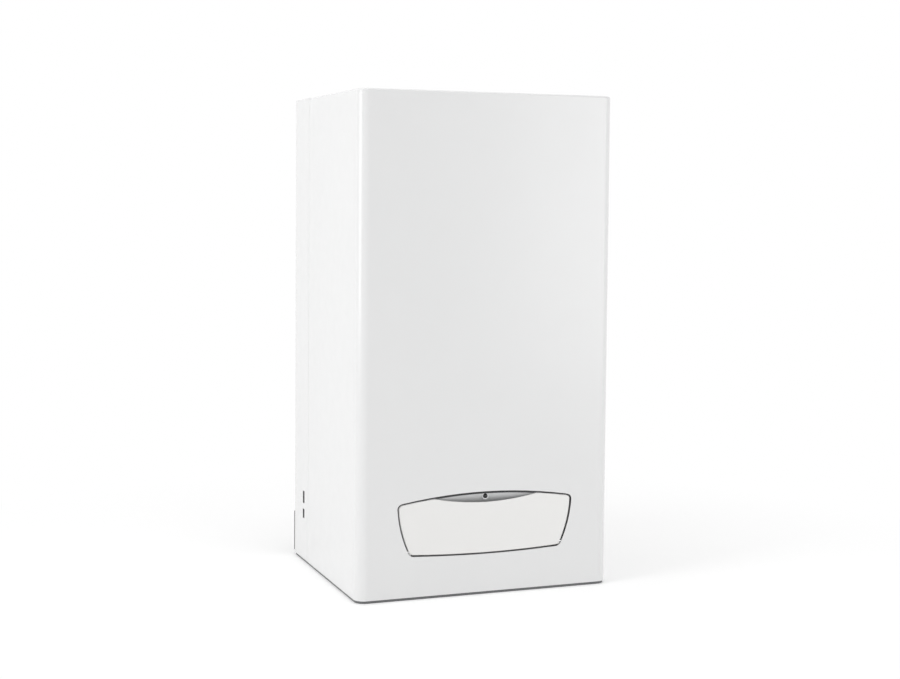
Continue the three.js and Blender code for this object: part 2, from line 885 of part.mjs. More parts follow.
// Depth of the recess's silver surface, at a distance below the crown of the opening.
function recessDepth(below) {
  return surroundBackset * (below / surroundDrop) ** 1.3;
}

const surroundFront = frontY + flapSheet + fit;
const lampZ = openingCrown - lampBelowCrown;
const lampSurfaceY = surroundFront + recessDepth(lampBelowCrown);
const bezelRadius = lampRadius + fit + lampBezelWidth;

// A dished bar behind the scoop, bent to follow the arch of the opening.
function gripSurround() {
  const profile = [new THREE.Vector2(surroundFront, openingCrown + surroundTopMargin)];
  const steps = 6;
  for (let i = 0; i <= steps; i += 1) {
    const below = (surroundDrop * i) / steps;
    profile.push(new THREE.Vector2(surroundFront + recessDepth(below), openingCrown - below));
  }
  profile.push(new THREE.Vector2(fasciaY, openingCrown - surroundDrop));
  profile.push(new THREE.Vector2(fasciaY, openingCrown + surroundTopMargin));
  const geometry = new THREE.ExtrudeGeometry(new THREE.Shape(profile), {
    depth: 2 * surroundHalfWidth,
    steps: 12,
    bevelEnabled: false,
  });
  alongAxis(geometry, 'x');
  geometry.translate(-surroundHalfWidth, 0, 0);
  const arch = (openingCrown - openingShoulder[1]) / openingShoulder[0] ** 2;
  const position = geometry.attributes.position;
  for (let i = 0; i < position.count; i += 1) {
    position.setZ(i, position.getZ(i) - arch * position.getX(i) ** 2);
  }
  const seat = joined(
    bar('y', bezelRadius + fit, frontY, lampSurfaceY + lampSeatDepth, [0, lampZ], 20),
    bar('y', lampRadius + fit, frontY, fasciaY - lampStemGap, [0, lampZ], 20),
  );
  return solid(geometry).subtract(seat);
}

function lampBezel() {
  const [from, to] = [lampSurfaceY - lampFlush, lampSurfaceY + lampSeatDepth - fit];
  const ring = bar('y', bezelRadius, from, to, [0, lampZ], 20);
  return ring.subtract(bar('y', lampRadius + fit, from - 1, to + 1, [0, lampZ], 20));
}

// A short stem with a domed front.
function statusLamp() {
  const dome = new THREE.SphereGeometry(lampRadius, 20, 10);
  const domeY = lampSurfaceY - lampFlush;
  dome.scale(1, domeShare, 1);
  dome.translate(0, domeY, lampZ);
  return solid(dome).add(bar('y', lampRadius, domeY, fasciaY - lampStemGap - fit, [0, lampZ], 20));
}

const buttonZ = controlsHeight - buttonDrop;
const [displayX, displayRise] = displayCentre;
const displayZ = controlsHeight + displayRise;

function buttonX(index) {
  return displayX + (index - (buttonCount - 1) / 2) * buttonPitch;
}

// A rectangle seen from the front, centred and grown by a margin, as a block in y.
function frontBlock([w, h], margin, [x, z], y0, y1) {
  return box(x - w / 2 - margin, x + w / 2 + margin, y0, y1, z - h / 2 - margin, z + h / 2 + margin);
}

function consoleFascia() {
  const plate = prism(
    roundedRectangle(-fasciaHalfWidth, fasciaHalfWidth, fasciaBottom, fasciaTop, fasciaCorner),
    'y',
    fasciaY,
    fasciaBack,
  );
  const [y0, y1] = [fasciaY - 1, fasciaBack + 1];
  const knobHoles = knobPlaces.map((x) => bar('y', knobShaft + fit, y0, y1, [x, controlsHeight], 12));
  const buttonHoles = [];
  for (let i = 0; i < buttonCount; i += 1) {
    buttonHoles.push(frontBlock(buttonSize, fit, [buttonX(i), buttonZ], y0, y1));
  }
  const holes = [
    ...knobHoles,
    ...buttonHoles,
    frontBlock(displaySize, fit, [displayX, displayZ], y0, y1),
    bar('y', gaugeRadius + fit, y0, y1, [gaugeX, controlsHeight], 28),
  ];
  return joined(cut(plate, ...holes), ...boardPosts());
}

function boardPosts() {
  const inset = 2 * postRadius;
  const places = [boardLeft + inset, boardRight - inset].flatMap((x) => [-1, 1].map((side) => (
    [x, controlsHeight + side * (boardHalfHeight - inset)]
  )));
  return places.map((place) => bar('y', postRadius, fasciaBack - 1, boardY, place, 8));
}

function consoleHousing() {
  const x = fasciaHalfWidth - housingMargin;
  const [z0, z1] = [fasciaBottom + housingMargin, fasciaTop - housingMargin];
  const back = fasciaBack + housingDepth;
  const wall = housingWall;
  const slotZ = z1 - cableSlotDrop - cableSlotSize[1] / 2;
  const cableSlot = (centre) => frontBlock(cableSlotSize, 0, [centre, slotZ], back - 2 * wall, back + 1);
  return cut(
    box(-x, x, fasciaBack, back, z0, z1),
    box(-x + wall, x - wall, fasciaBack - 1, back - wall, z0 + wall, z1 - wall),
    cableSlot(-x / 2),
    cableSlot(x / 2),
  );
}

// The circuit board with its rotary controls, switches, display module and larger components.
function controlBoard() {
  const back = boardY + boardSheet;
  const bottom = controlsHeight - boardHalfHeight;
  const [seat, rear] = [boardY + boardSink, back - boardSink];
  const board = box(boardLeft, boardRight, boardY, back, bottom, controlsHeight + boardHalfHeight);
  const controls = knobPlaces.map((x) => cut(
    frontBlock(rotaryControl, 0, [x, controlsHeight], fasciaBack + rotaryGap, seat),
    bar('y', knobShaft + fit, fasciaBack, boardY - shaftGap, [x, controlsHeight], 12),
  ));
  const switches = [];
  for (let i = 0; i < buttonCount; i += 1) {
    const front = fasciaBack + fit + retainerSheet + buttonTravel + 2 * fit;
    switches.push(frontBlock(switchSize, 0, [buttonX(i), buttonZ], front, seat));
  }
  const place = [displayX, displayZ];
  const moduleFront = fasciaBack + displayModuleGap + 3 * fit;
  const module = frontBlock(displaySize, -displayModuleInset, place, moduleFront, seat);
  const sizes = [transformerBlock, firstRelay, secondRelay, terminalStrip, processor];
  const blocks = sizes.map(([w, h, out, x, z]) => (
    frontBlock([w, h], 0, [boardLeft + x, bottom + z], rear, back + out)
  ));
  const [capacitorX, capacitorZ] = [boardLeft + capacitorPlace[0], bottom + capacitorPlace[1]];
  const capacitor = bar('y', capacitorRadius, rear, back + capacitorLength, [capacitorX, capacitorZ], 12);
  return joined(board, ...controls, ...switches, module, ...blocks, capacitor);
}

function displayWindow() {
  const place = [displayX, displayZ];
  const flangeFront = fasciaBack + fit;
  const flange = frontBlock(displaySize, displayFlange, place, flangeFront, flangeFront + displayFlangeSheet);
  return frontBlock(displaySize, 0, place, fasciaY - fit, fasciaBack + displayInset).add(flange);
}

// A knob about its own axis: skirt, grip, pointer rib and shaft. Local origin on the fascia's face.
function knob() {
  const half = pointerWidth / 2;
  const skirt = bar('y', knobRadius, -knobSkirt, -fit, [0, 0], 24);
  const grip = bar('y', knobRadius * knobGripShare, -knobDepth, -knobGripBack, [0, 0], 20);
  const rib = box(-half, half, -knobDepth - pointerProud, -knobGripBack, 0, knobRadius * pointerShare);
  const shaft = bar('y', knobShaft, -1, fasciaSheet + boardSetback - shaftGap - fit, [0, 0], 12);
  return joined(skirt, grip, rib, shaft);
}

// A push button about the middle of its cap. Local origin on the fascia's face.
function consoleButton() {
  const retainerBack = fasciaSheet + fit + retainerSheet;
  const cap = frontBlock(buttonSize, 0, [0, 0], -buttonProud, retainerBack);
  return cap.add(frontBlock(buttonSize, retainerMargin, [0, 0], fasciaSheet + fit, retainerBack));
}

function pressureGauge() {
  const place = [gaugeX, controlsHeight];
  const front = fasciaY - gaugeBezelProud;
  const back = fasciaY + gaugeDepth;
  const cup = joined(
    bar('y', gaugeRadius, front, back, place, 28),
    bar('y', gaugeRadius + gaugeBezel, front, fasciaY, place, 28),
    bar('y', capillaryRadius, back - 1, back + capillaryLength, place, 12),
  );
  return cut(
    cup,
    bar('y', gaugeRadius - gaugeWall, front - 1, dialY, place, 28),
    bar('y', needlePivot + fit, dialY - 1, dialY + pivotDepth + 1, place, 10),
  );
}

// The gauge's needle about its pivot, pointing at the zero mark at the lower left.
function gaugeNeedle() {
  const back = dialSetback - needleLift;
  const front = back - needleSheet;
  const half = needleWidth / 2;
  const blade = box(-half, half, front, back, -needleTail, needleLength);
  const hub = bar('y', needleHub, front - needleSheet / 2, back + needleSheet / 2, [0, 0], 12);
  const pivot = bar('y', needlePivot, front, dialSetback + pivotDepth, [0, 0], 10);
  return joined(blade, hub, pivot);
}

function gaugeLens() {
  const back = fasciaY - lensSetback;
  return bar('y', gaugeRadius - gaugeWall - fit, back - lensSheet, back, [gaugeX, controlsHeight], 28);
}

// A steel arm from the chassis flange to the side of the console.
function consoleBracket(side) {
  const inner = fasciaHalfWidth - housingMargin;
  const turn = seamY - flangeReach + 2 * bracketSheet;
  const [a, b] = [side * inner, side * (inner + bracketSheet)].sort((p, q) => p - q);
  const [c, d] = [side * inner, side * (flangeInner - fit)].sort((p, q) => p - q);
  const arm = box(a, b, fasciaBack + bracketOverlap, turn, bracketBottom, bracketTop);
  const foot = box(c, d, turn - bracketSheet, turn, bracketBottom, bracketTop);
  return arm.add(foot);
}

// ---------------------------------------------------------------- sealed chamber

// The places where pipes go through the chamber's floor.
const floorHoles = [
  [-riserX, riserY, heatingPipe],
  [riserX, riserY, heatingPipe],
  [0, gasRiserY, gasPipe],
];

function sealedChamber() {
  const x = chamberHalfWidth;
  const wall = chamberSheet;
  const shell = cut(
    box(-x, x, chamberFront, chamberBack, chamberBottom, chamberTop),
    box(-x + wall, x - wall, chamberFront + wall, chamberBack - wall, chamberFloor, chamberTop - wall),
    box(
      -x + chamberLip,
      x - chamberLip,
      chamberFront - 1,
      chamberFront + 2 * wall,
      chamberBottom + chamberLip,
      chamberTop - chamberLip,
    ),
    bar('z', airRadius - collarSeat, chamberTop - 2 * wall, chamberTop + 1, [0, flueY], 32),
    ...floorHoles.map(([px, py, r]) => (
      bar('z', r + pipeHoleGap, chamberBottom - 1, chamberFloor + 1, [px, py], 12)
    )),
    ...screwPlaces().map(([px, pz]) => (
      bar('y', screwRadius / 2 + fit, chamberFront - 1, chamberFront + 2 * wall, [px, pz], 8)
    )),
  );
  const wings = [-1, 1].map((side) => {
    const [a, b] = [side * (x - wall / 2), side * (flangeInner - fit)].sort((p, q) => p - q);
    const y = seamY - flangeReach / 2;
    return box(a, b, y, y + wall, chamberBottom, chamberTop);
  });
  return joined(shell, ...wings);
}

function screwPlaces() {
  const z = (chamberBottom + chamberTop) / 2;
  return [-1, 1].map((side) => [side * (chamberHalfWidth - chamberLip / 2), z]);
}

function chamberCover() {
  const x = chamberHalfWidth;
  return cut(
    box(-x, x, chamberFront - chamberSheet, chamberFront, chamberBottom, chamberTop),
    ...screwPlaces().map(([px, pz]) => (
      bar('y', screwRadius / 2 + fit, chamberFront - 2 * chamberSheet, chamberFront + 1, [px, pz], 8)
    )),
  );
}

// A hexagon-headed screw about its axis. Local origin under the head.
function chamberScrew() {
  const head = prism(new THREE.Shape(polygon(6, screwRadius)), 'y', -screwHead, 0);
  return head.add(bar('y', screwRadius / 2, -1, screwLength, [0, 0], 8));
}

function firebox() {
  const x = fireboxHalfWidth;
  const wall = fireboxWall;
  const window = x - 3 * wall;
  const sill = chamberFloor + fireboxSill;
  return cut(
    box(-x, x, fireboxFront, fireboxBack, chamberFloor, fireboxTop),
    box(-x + wall, x - wall, fireboxFront + wall, fireboxBack - wall, 0, fireboxTop + 1),
    box(-window, window, -depth, depth, 0, sill),
    box(-width, width, fireboxFront + 3 * wall, fireboxBack - 3 * wall, 0, sill),
  );
}

// A gas manifold across the front with burner bars running back from it, on four legs.
function burner() {
  const reach = fireboxHalfWidth - fireboxWall - burnerSideGap;
  const front = fireboxFront + fireboxWall + burnerFrontGap;
  const back = fireboxBack - fireboxWall - burnerBackGap;
  const manifoldTop = manifoldZ + manifoldHeight;
  const barBottom = manifoldZ + burnerBarRise;
  const [legWidth, legDepth] = burnerLeg;
  const parts = [
    box(-reach, reach, front, front + manifoldDepth, manifoldZ, manifoldTop),
    box(-reach, reach, back - burnerRail, back, manifoldZ, manifoldTop),
  ];
  for (let i = 0; i < burnerBars; i += 1) {
    const x = (reach - burnerBarWidth) * ((2 * i) / (burnerBars - 1) - 1);
    const [x0, x1] = [x - burnerBarWidth / 2, x + burnerBarWidth / 2];
    parts.push(box(x0, x1, front + manifoldDepth - burnerLap, back, barBottom, manifoldZ + burnerTopRise));
  }
  [-1, 1].forEach((side) => [front + legDepth, back - legDepth].forEach((y) => {
    const [a, b] = [side * (reach - legWidth), side * reach].sort((p, q) => p - q);
    parts.push(box(a, b, y, y + legDepth, chamberFloor, manifoldZ + burnerLegLap));
  }));
  return joined(...parts);
}

function primaryHeatExchanger() {
  const x = fireboxHalfWidth;
  const rim = exchangerFrame;
  const [finBottom, finTop] = [fireboxTop + finTopGap, exchangerTop - finTopGap];
  const frame = cut(
    box(-x, x, fireboxFront, fireboxBack, fireboxTop, exchangerTop),
    box(-x + rim, x - rim, fireboxFront + rim, fireboxBack - rim, 0, height),
  );
  const fins = [];
  for (let i = 0; i < finCount; i += 1) {
    const fx = (x - finEndGap) * ((2 * i) / (finCount - 1) - 1);
    const [x0, x1] = [fx - finSheet / 2, fx + finSheet / 2];
    fins.push(box(x0, x1, fireboxFront + finLap, fireboxBack - finLap, finBottom, finTop));
  }
  const tubes = [];
  const pitch = (fireboxBack - fireboxFront) / exchangerTubes;
  for (let i = 0; i < exchangerTubes; i += 1) {
    const y = fireboxFront + pitch * (i + 0.5);
    tubes.push(bar('x', exchangerTubeRadius, -x + finLap, x - finLap, [y, exchangerTubeZ], 6));
  }
  const end = x + exchangerStub;
  const stubs = bar('x', heatingPipe, -end, end, [riserY, exchangerTubeZ], 10);
  const bores = [-1, 1].map((side) => {
    const [a, b] = [side * (x - exchangerBore), side * (end + 1)].sort((p, q) => p - q);
    return bar('x', heatingPipe - pipeWall, a, b, [riserY, exchangerTubeZ], 10);
  });
  return cut(joined(frame, ...fins, ...tubes, stubs), ...bores);
}

// A closed block between a lower and an upper rectangle.
function taper([x0, x1, y0, y1, z0], [u0, u1, v0, v1, z1]) {
  const points = [
    [x0, y0, z0], [x1, y0, z0], [x1, y1, z0], [x0, y1, z0],
    [u0, v0, z1], [u1, v0, z1], [u1, v1, z1], [u0, v1, z1],
  ];
  return solid(new ConvexGeometry(points.map((point) => new THREE.Vector3(...point))));
}

function flueHood() {
  const [x0, x1] = [fanX - hoodHalfWidth, fanX + hoodHalfWidth];
  const [y0, y1] = [fireboxFront + hoodFrontGap, fanFront - fit];
  const top = fanHeight + hoodHalfWidth;
  const hood = (grow, lift) => joined(
    taper(
      [
        -fireboxHalfWidth + grow,
        fireboxHalfWidth - grow,
        fireboxFront + grow,
        fireboxBack - grow,
        exchangerTop - lift,
      ],
      [x0 + grow, x1 - grow, y0 + grow, y1 - grow, hoodThroat + hoodSheet / 10],
    ),
    box(x0 + grow, x1 - grow, y0 + grow, y1 - grow, hoodThroat, top - grow),
  );
  return cut(
    hood(0, 0),
    hood(hoodSheet, hoodSheet / 3),
    bar('y', fanInletRadius, y1 - 3 * hoodSheet, y1 + 1, [fanX, fanHeight], 24),
  );
}

// ---------------------------------------------------------------- fan and flue

function fanHousing() {
  const ductTop = chamberTop - chamberHeadroom;
  const duct = fanRadius / 2;
  const outer = joined(
    bar('y', fanRadius, fanFront, fanBack, [fanX, fanHeight], 32),
    box(-duct, duct, fanFront, fanBack, fanHeight, ductTop),
  );
  const inner = joined(
    bar('y', fanRadius - fanWall, fanFront + fanWall, fanBack - fanWall, [fanX, fanHeight], 32),
    box(-duct + fanWall, duct - fanWall, fanFront + fanWall, fanBack - fanWall, fanHeight, ductTop + 1),
  );
  return cut(
    outer,
    inner,
    bar('y', fanInletRadius, fanFront - 1, fanFront + fanWall + 1, [fanX, fanHeight], 24),
    bar('y', fanShaft + fit, fanBack - fanWall - 1, fanBack + 1, [fanX, fanHeight], 12),
  );
}

// The fan wheel about its axis. Local origin at the middle of the housing.
function fanImpeller() {
  const [front, back] = [-fanWidth / 2 + wheelFrontGap, fanWidth / 2 - wheelBackGap];
  const [bladeLength, bladeSheet] = fanBlade;
  const ring = cut(
    bar('y', impellerRadius, front, front + wheelSheet, [0, 0], 20),
    bar('y', impellerRadius - wheelRim, front - 1, front + wheelSheet + 1, [0, 0], 20),
  );
  const plate = bar('y', impellerRadius, back - wheelSheet, back, [0, 0], 20);
  const hub = bar('y', 2 * fanShaft, back - wheelHub, back, [0, 0], 16);
  const shaft = bar('y', fanShaft, back - wheelHub / 2, fanWidth / 2 + fanShaftReach, [0, 0], 12);
  const blades = [];
  for (let i = 0; i < impellerBlades; i += 1) {
    const blade = new THREE.BoxGeometry(bladeLength, back - front - wheelSheet / 2, bladeSheet);
    blade.rotateY(bladeTurn);
    blade.translate(impellerRadius - wheelRim / 2 - bladeSheet / 2, (front + back) / 2, 0);
    blade.rotateY((2 * Math.PI * i) / impellerBlades);
    blades.push(solid(blade));
  }
  return joined(plate, hub, shaft, ring, ...blades);
}

function fanMotor() {
  const place = [fanX, fanHeight];
  const motorBack = fanBack + fanMotorLength;
  const motor = joined(
    bar('y', fanMotorRadius, fanBack, motorBack, place, 24),
    bar('y', fanMotorRadius / 2, motorBack - 1, motorBack + fanMotorCap, place, 16),
  );
  const boreEnd = fanBack + fanShaftReach + fanMotorCap;
  return motor.subtract(bar('y', fanShaft + fit, fanBack - 1, boreEnd, place, 12));
}

const collarTop = height + flueProud;

function flueRing(outer, inner, z0, z1) {
  const place = [0, flueY];
  return bar('z', outer, z0, z1, place, 16).subtract(bar('z', inner, z0 - 1, z1 + 1, place, 16));
}

// The air collar of the twin-wall flue outlet, with the flange that lies on the top panel.
function flueCollar() {
  const flangeTop = topPanelTop + flueFlangeSheet;
  return joined(
    flueRing(airRadius, airRadius - flueSheet, chamberTop, collarTop),
    flueRing(airRadius + flueFlange, airRadius - flueSheet / 2, topPanelTop, flangeTop),
  );
}

// The inner flue tube, held in the middle of the collar by four ribs.
function flueTube() {
  const [ribSheet, ribHeight] = flueRib;
  const ribs = [Math.PI / 4, -Math.PI / 4].map((angle) => {
    const rib = new THREE.BoxGeometry(2 * airRadius, ribSheet, ribHeight);
    rib.rotateZ(angle);
    rib.translate(0, flueY, chamberTop + flueRibRise);
    return solid(rib);
  });
  const reach = airRadius - flueSheet - fit;
  const cross = joined(...ribs).intersect(flueRing(reach, flueRadius - flueSheet / 2, chamberTop, collarTop));
  return cross.add(flueRing(flueRadius, flueRadius - flueSheet, chamberTop - chamberHeadroom, collarTop));
}

// ---------------------------------------------------------------- water side

function expansionVessel() {
  const back = backPlateFront - fit;
  const vesselShell = (inset) => {
    const edge = vesselEdge - inset;
    const shape = roundedRectangle(
      -vesselHalfWidth + inset,
      vesselHalfWidth - inset,
      vesselBottom + inset,
      vesselTop - inset,
      vesselCorner - inset,
    );
    const geometry = new THREE.ExtrudeGeometry(shape, {
      depth: vesselDepth - 2 * inset - 2 * edge,
      bevelThickness: edge,
      bevelSize: edge,
      bevelOffset: -edge,
      bevelSegments: 2,
      curveSegments: 4,
    });
    alongAxis(geometry, 'y');
    geometry.translate(0, back - inset - edge, 0);
    return solid(geometry);
  };
  const place = [vesselPortX, back - vesselDepth / 2];
  const [portEnd, portTop] = [vesselBottom - vesselPortDrop, vesselBottom + vesselPortWall];
  const outer = vesselShell(0).add(bar('z', vesselPipe + vesselPortWall, portEnd, portTop, place, 12));
  const port = bar('z', vesselPipe, portEnd - 1, vesselBottom + vesselPortDrop, place, 12);
  return cut(outer, vesselShell(vesselSheet), port);
}

function vesselHose() {
  const y = backPlateFront - fit - vesselDepth / 2;
  const drop = blockTop + vesselPipeRise;
  return pipe(
    [
      [vesselPortX, y, vesselBottom - vesselPortDrop - fit],
      [vesselPortX, y, drop],
      [vesselPortX, pipeY, drop],
      [vesselPortX, pipeY, blockTop + fit],
    ],
    vesselPipe,
    pipeWall,
    wideBend,
  );
}

// A threaded tail with a hexagon nut, from the bottom cover up to a block.
function tail(x, radius, top) {
  const nut = polygon(6, radius * nutShare, x, pipeY);
  return joined(
    bar('z', radius, coverPlate, top, [x, pipeY], 16),
    prism(new THREE.Shape(nut), 'z', nutBottom, nutBottom + nutHeight),
  );
}

function tailBore(x, radius, top) {
  return bar('z', radius - tailWall, 0, top, [x, pipeY], 12);
}

// The block above the flow and hot water tails, with the diverter valve's seat.
function flowBlock() {
  const seatFront = blockFront - diverterBossProud - 1;
  const seatBack = blockFront + spindleBack + spindleTravel + 2;
  const body = joined(
    box(-flowBlockEnd, -flowBlockStart, blockFront, blockBack, blockBottom, blockTop),
    tail(-heatingTailX, wideTail, blockBottom + 1),
    tail(-waterTailX, narrowTail, blockBottom + 1),
    bar('z', heatingPipe + stubWall, blockTop - 1, blockTop + stubRise, [-riserX, pipeY], 16),
    bar('y', diverterBoss, blockFront - diverterBossProud, blockFront + 1, [diverterX, diverterHeight], 20),
  );
  return cut(
    body,
    tailBore(-heatingTailX, wideTail, blockTop - blockRoof),
    tailBore(-waterTailX, narrowTail, blockTop - blockRoof),
    bar('z', heatingPipe - pipeWall, blockTop - blockRoof - 5, blockTop + stubRise + 1, [-riserX, pipeY], 12),
    bar('y', spindleRadius + fit, seatFront, seatBack, [diverterX, diverterHeight], 12),
  );
}

// The block above the cold inlet and return tails, under the pump.
function returnBlock() {
  const body = joined(
    box(returnBlockStart, returnBlockEnd, blockFront, blockBack, blockBottom, blockTop),
    tail(waterTailX, narrowTail, blockBottom + 1),
    tail(heatingTailX, wideTail, blockBottom + 1),
  );
  return cut(
    body,
    tailBore(waterTailX, narrowTail, blockTop - blockRoof),
    tailBore(heatingTailX, wideTail, blockTop - blockRoof),
    bar('z', tapStem + fit, blockBottom - 1, blockBottom + tapStemReach + 2, [tapX, pipeY], 12),
    bar('z', pumpPort, blockTop - portDepth, blockTop + 1, [pumpX, pipeY], 16),
    bar('z', vesselPipe - pipeWall, blockTop - portDepth, blockTop + 1, [vesselPortX, pipeY], 8),
    bar('y', safetyPort, blockFront - 1, blockFront + portDepth + 2, [safetyX, safetyHeight], 10),
  );
}

// Brazed plates stacked towards the wall, with a groove between each two.
function plateHeatExchanger() {
  const [z0, z1] = [blockBottom + plateRise, blockBottom + plateRise + plateHeight];
  const top = [];
  const bottom = [];
  for (let i = 0; i < plateCount; i += 1) {
    const y = blockBack + i * platePitch;
    const [ya, yb, yc] = [y, y + platePitch * plateLandShare, y + platePitch];
    top.push([ya, z1], [yb, z1], [yb, z1 - plateGroove], [yc, z1 - plateGroove]);
    bottom.push([ya, z0], [yb, z0], [yb, z0 + plateGroove], [yc, z0 + plateGroove]);
  }
  const outline = [...bottom, ...top.reverse()].map((point) => new THREE.Vector2(...point));
  return prism(new THREE.Shape(outline), 'x', -plateHalfWidth, plateHalfWidth);
}

function diverterMotor() {
  const place = [diverterX, diverterHeight];
  const back = blockFront - diverterBossProud;
  const front = back - diverterMotorLength;
  const capBack = front + diverterCap;
  const motor = joined(
    frontBlock([diverterMotorSide, diverterMotorSide], 0, place, capBack, back),
    bar('y', diverterCapRadius, front, capBack + 1, place, 24),
  );
  return motor.subtract(bar('y', spindleRadius + fit, back - diverterBore, back + 1, place, 12));
}

// The diverter's spindle about its axis. Local origin on the block's front face.
function diverterSpindle() {
  return bar('y', spindleRadius, -spindleFront, spindleBack, [0, 0], 12);
}

function pumpBody() {
  const place = [pumpX, pumpHeight];
  const stubTop = pumpHeight + pumpRadius + pumpStubRise;
  const back = blockBack - pumpSetback;
  const [footX0, footX1] = [pumpX - pumpFoot, pumpX + pumpFoot];
  const [footY0, footY1] = [pumpFront + pumpFootInset, back - pumpFootInset / 2];
  const body = joined(
    bar('y', pumpRadius, pumpFront, back, place, 32),
    box(footX0, footX1, footY0, footY1, blockTop, pumpHeight - pumpCavity),
    bar('z', heatingPipe + stubWall, pumpHeight + pumpCavity + stubWall, stubTop, [pumpX, pipeY], 16),
  );
  return cut(
    body,
    bar('y', pumpCavity, pumpFront + pumpFrontWall, blockBack - pumpBackWall, place, 24),
    bar('z', pumpPort, blockTop - 1, pumpHeight - pumpCavity / 2, [pumpX, pipeY], 12),
    bar('z', heatingPipe - pipeWall, pumpHeight + pumpCavity / 2, stubTop + 1, [pumpX, pipeY], 12),
    bar('y', pumpShaft + fit, pumpFront - 1, pumpFront + pumpFrontWall + 1, place, 12),
  );
}

// The pump wheel about its axis. Local origin in the plane of the pump's front face.
function pumpImpeller() {
  const [front, back] = [pumpWheelFront, pumpWheelBack];
  const [bladeLength, bladeSheet] = pumpBlade;
  const blades = [];
  for (let i = 0; i < pumpBlades; i += 1) {
    const blade = new THREE.BoxGeometry(bladeLength, back - front - bladeSheet, bladeSheet);
    blade.rotateY(pumpBladeTurn);
    blade.translate(pumpBladePlace, (front + back) / 2, 0);
    blade.rotateY((2 * Math.PI * i) / pumpBlades);
    blades.push(solid(blade));
  }
  return joined(
    bar('y', pumpImpellerRadius, front, front + bladeSheet, [0, 0], 24),
    bar('y', pumpShaft, -pumpShaftReach, back - 1, [0, 0], 12),
    bar('y', 2 * pumpShaft, front + 1, back, [0, 0], 16),
    ...blades,
  );
}

function pumpMotor() {
  const place = [pumpX, pumpHeight];
  const front = pumpFront - pumpMotorLength;
  const [boxX0, boxX1] = [pumpX + motorBox[0], pumpX + motorBox[1]];
  const [boxY0, boxY1] = [front + motorBoxInset, pumpFront - motorBoxInset];
  const [boxZ0, boxZ1] = [pumpHeight - motorBox[2], pumpHeight + motorBox[2]];
  const motor = joined(
    bar('y', pumpMotorRadius, front, pumpFront, place, 28),
    bar('y', motorCapRadius, front - motorCap, front + 1, place, 16),
    box(boxX0, boxX1, boxY0, boxY1, boxZ0, boxZ1),
  );
  return motor.subtract(bar('y', pumpShaft + fit, pumpFront - motorBore, pumpFront + 1, place, 12));
}

function gasValve() {
  const x = gasValveHalfWidth;
  const front = gasOutletY - gasOutletWall;
  const solenoids = [-x / 2, x / 2].map((place) => (
    bar('y', solenoidRadius, front - solenoidLength, front + 1, [place, gasValveBottom + solenoidRise], 20)
  ));
  const body = joined(
    box(-x, x, front, blockBack - pumpSetback, gasValveBottom, gasValveTop),
    ...solenoids,
    bar('z', gasPipe + stubWall, gasValveBottom - gasStub, gasValveBottom + 1, [0, pipeY], 16),
    bar('z', gasPipe + stubWall, gasValveTop - 1, gasValveTop + gasOutletRise, [0, gasOutletY], 16),
  );
  return cut(
    body,
    bar('z', gasPipe - pipeWall, gasValveBottom - gasStub - 1, gasValveBottom + gasBore, [0, pipeY], 12),
    bar('z', gasPipe - pipeWall, gasValveTop - gasBore, gasValveTop + gasOutletRise + 1, [0, gasOutletY], 12),
  );
}

// The gas connection: threaded tail, nut and a straight pipe up to the gas valve.
function gasTail() {
  const top = gasValveBottom - gasStub - fit;
  const riser = bar('z', gasPipe + 1, blockBottom - 1, top, [0, pipeY], 16);
  const body = tail(0, wideTail, blockBottom).add(riser);
  return cut(
    body,
    tailBore(0, wideTail, blockBottom - tailWall),
    bar('z', gasPipe - pipeWall, 1, top + 1, [0, pipeY], 12),
  );
}

function gasRiser() {
  const level = chamberBottom - gasRunDrop;
  return pipe(
    [
      [0, gasOutletY, gasValveTop + gasOutletRise + fit],
      [0, gasOutletY, level],
      [0, gasRiserY, level],
      [0, gasRiserY, manifoldZ - fit],
    ],
    gasPipe,
    pipeWall,
    wideBend,
  );
}

function flowPipe() {
  const start = -fireboxHalfWidth - exchangerStub - fit;
  const drop = blockTop + flowPipeRise;
  return pipe(
    [
      [start, riserY, exchangerTubeZ],
      [-riserX, riserY, exchangerTubeZ],
      [-riserX, riserY, drop],
      [-riserX, pipeY, drop],
      [-riserX, pipeY, blockTop + stubRise + fit],
    ],
    heatingPipe,
    pipeWall,
    pipeBend,
  );
}

function returnPipe() {
  const start = pumpHeight + pumpRadius + pumpStubRise + fit;
  const level = start + returnPipeRise;
  return pipe(
    [
      [pumpX, pipeY, start],
      [pumpX, pipeY, level],
      [riserX, riserY, level],
      [riserX, riserY, exchangerTubeZ],
      [fireboxHalfWidth + exchangerStub + fit, riserY, exchangerTubeZ],
    ],
    heatingPipe,
    pipeWall,
    pipeBend,
  );
}

const safetyFront = blockFront - safetyLength;

function safetyValve() {
  const place = [safetyX, safetyHeight];
  const spoutPlace = [safetyX, blockFront - safetyLength / 2];
  const spoutEnd = safetyHeight - safetyLength;
  const stemSeat = safetyFront + reliefStemReach + 1;
  const body = joined(
    bar('y', safetyRadius, safetyFront, blockFront, place, 20),
    bar('z', safetySpout, spoutEnd, safetyHeight, spoutPlace, 14),
  );
  return cut(
    body,
    bar('z', safetyBore, spoutEnd - 1, safetyHeight - safetyBore, spoutPlace, 12),
    bar('y', reliefStem + fit, safetyFront - 1, stemSeat, place, 12),
  );
}

// The relief valve's cap about its axis. Local origin in the plane of the valve's front end.
function safetyKnob() {
  const [gripX, gripZ] = reliefGrip.map((size) => size / 2);
  const gripFront = -reliefCapLength - reliefGripProud;
  const cap = prism(new THREE.Shape(polygon(8, reliefCapRadius)), 'y', -reliefCapLength, -fit);
  const grip = box(-gripX, gripX, gripFront, 1 - reliefCapLength, -gripZ, gripZ);
  return joined(cap, grip, bar('y', reliefStem, -1, reliefStemReach, [0, 0], 12));
}

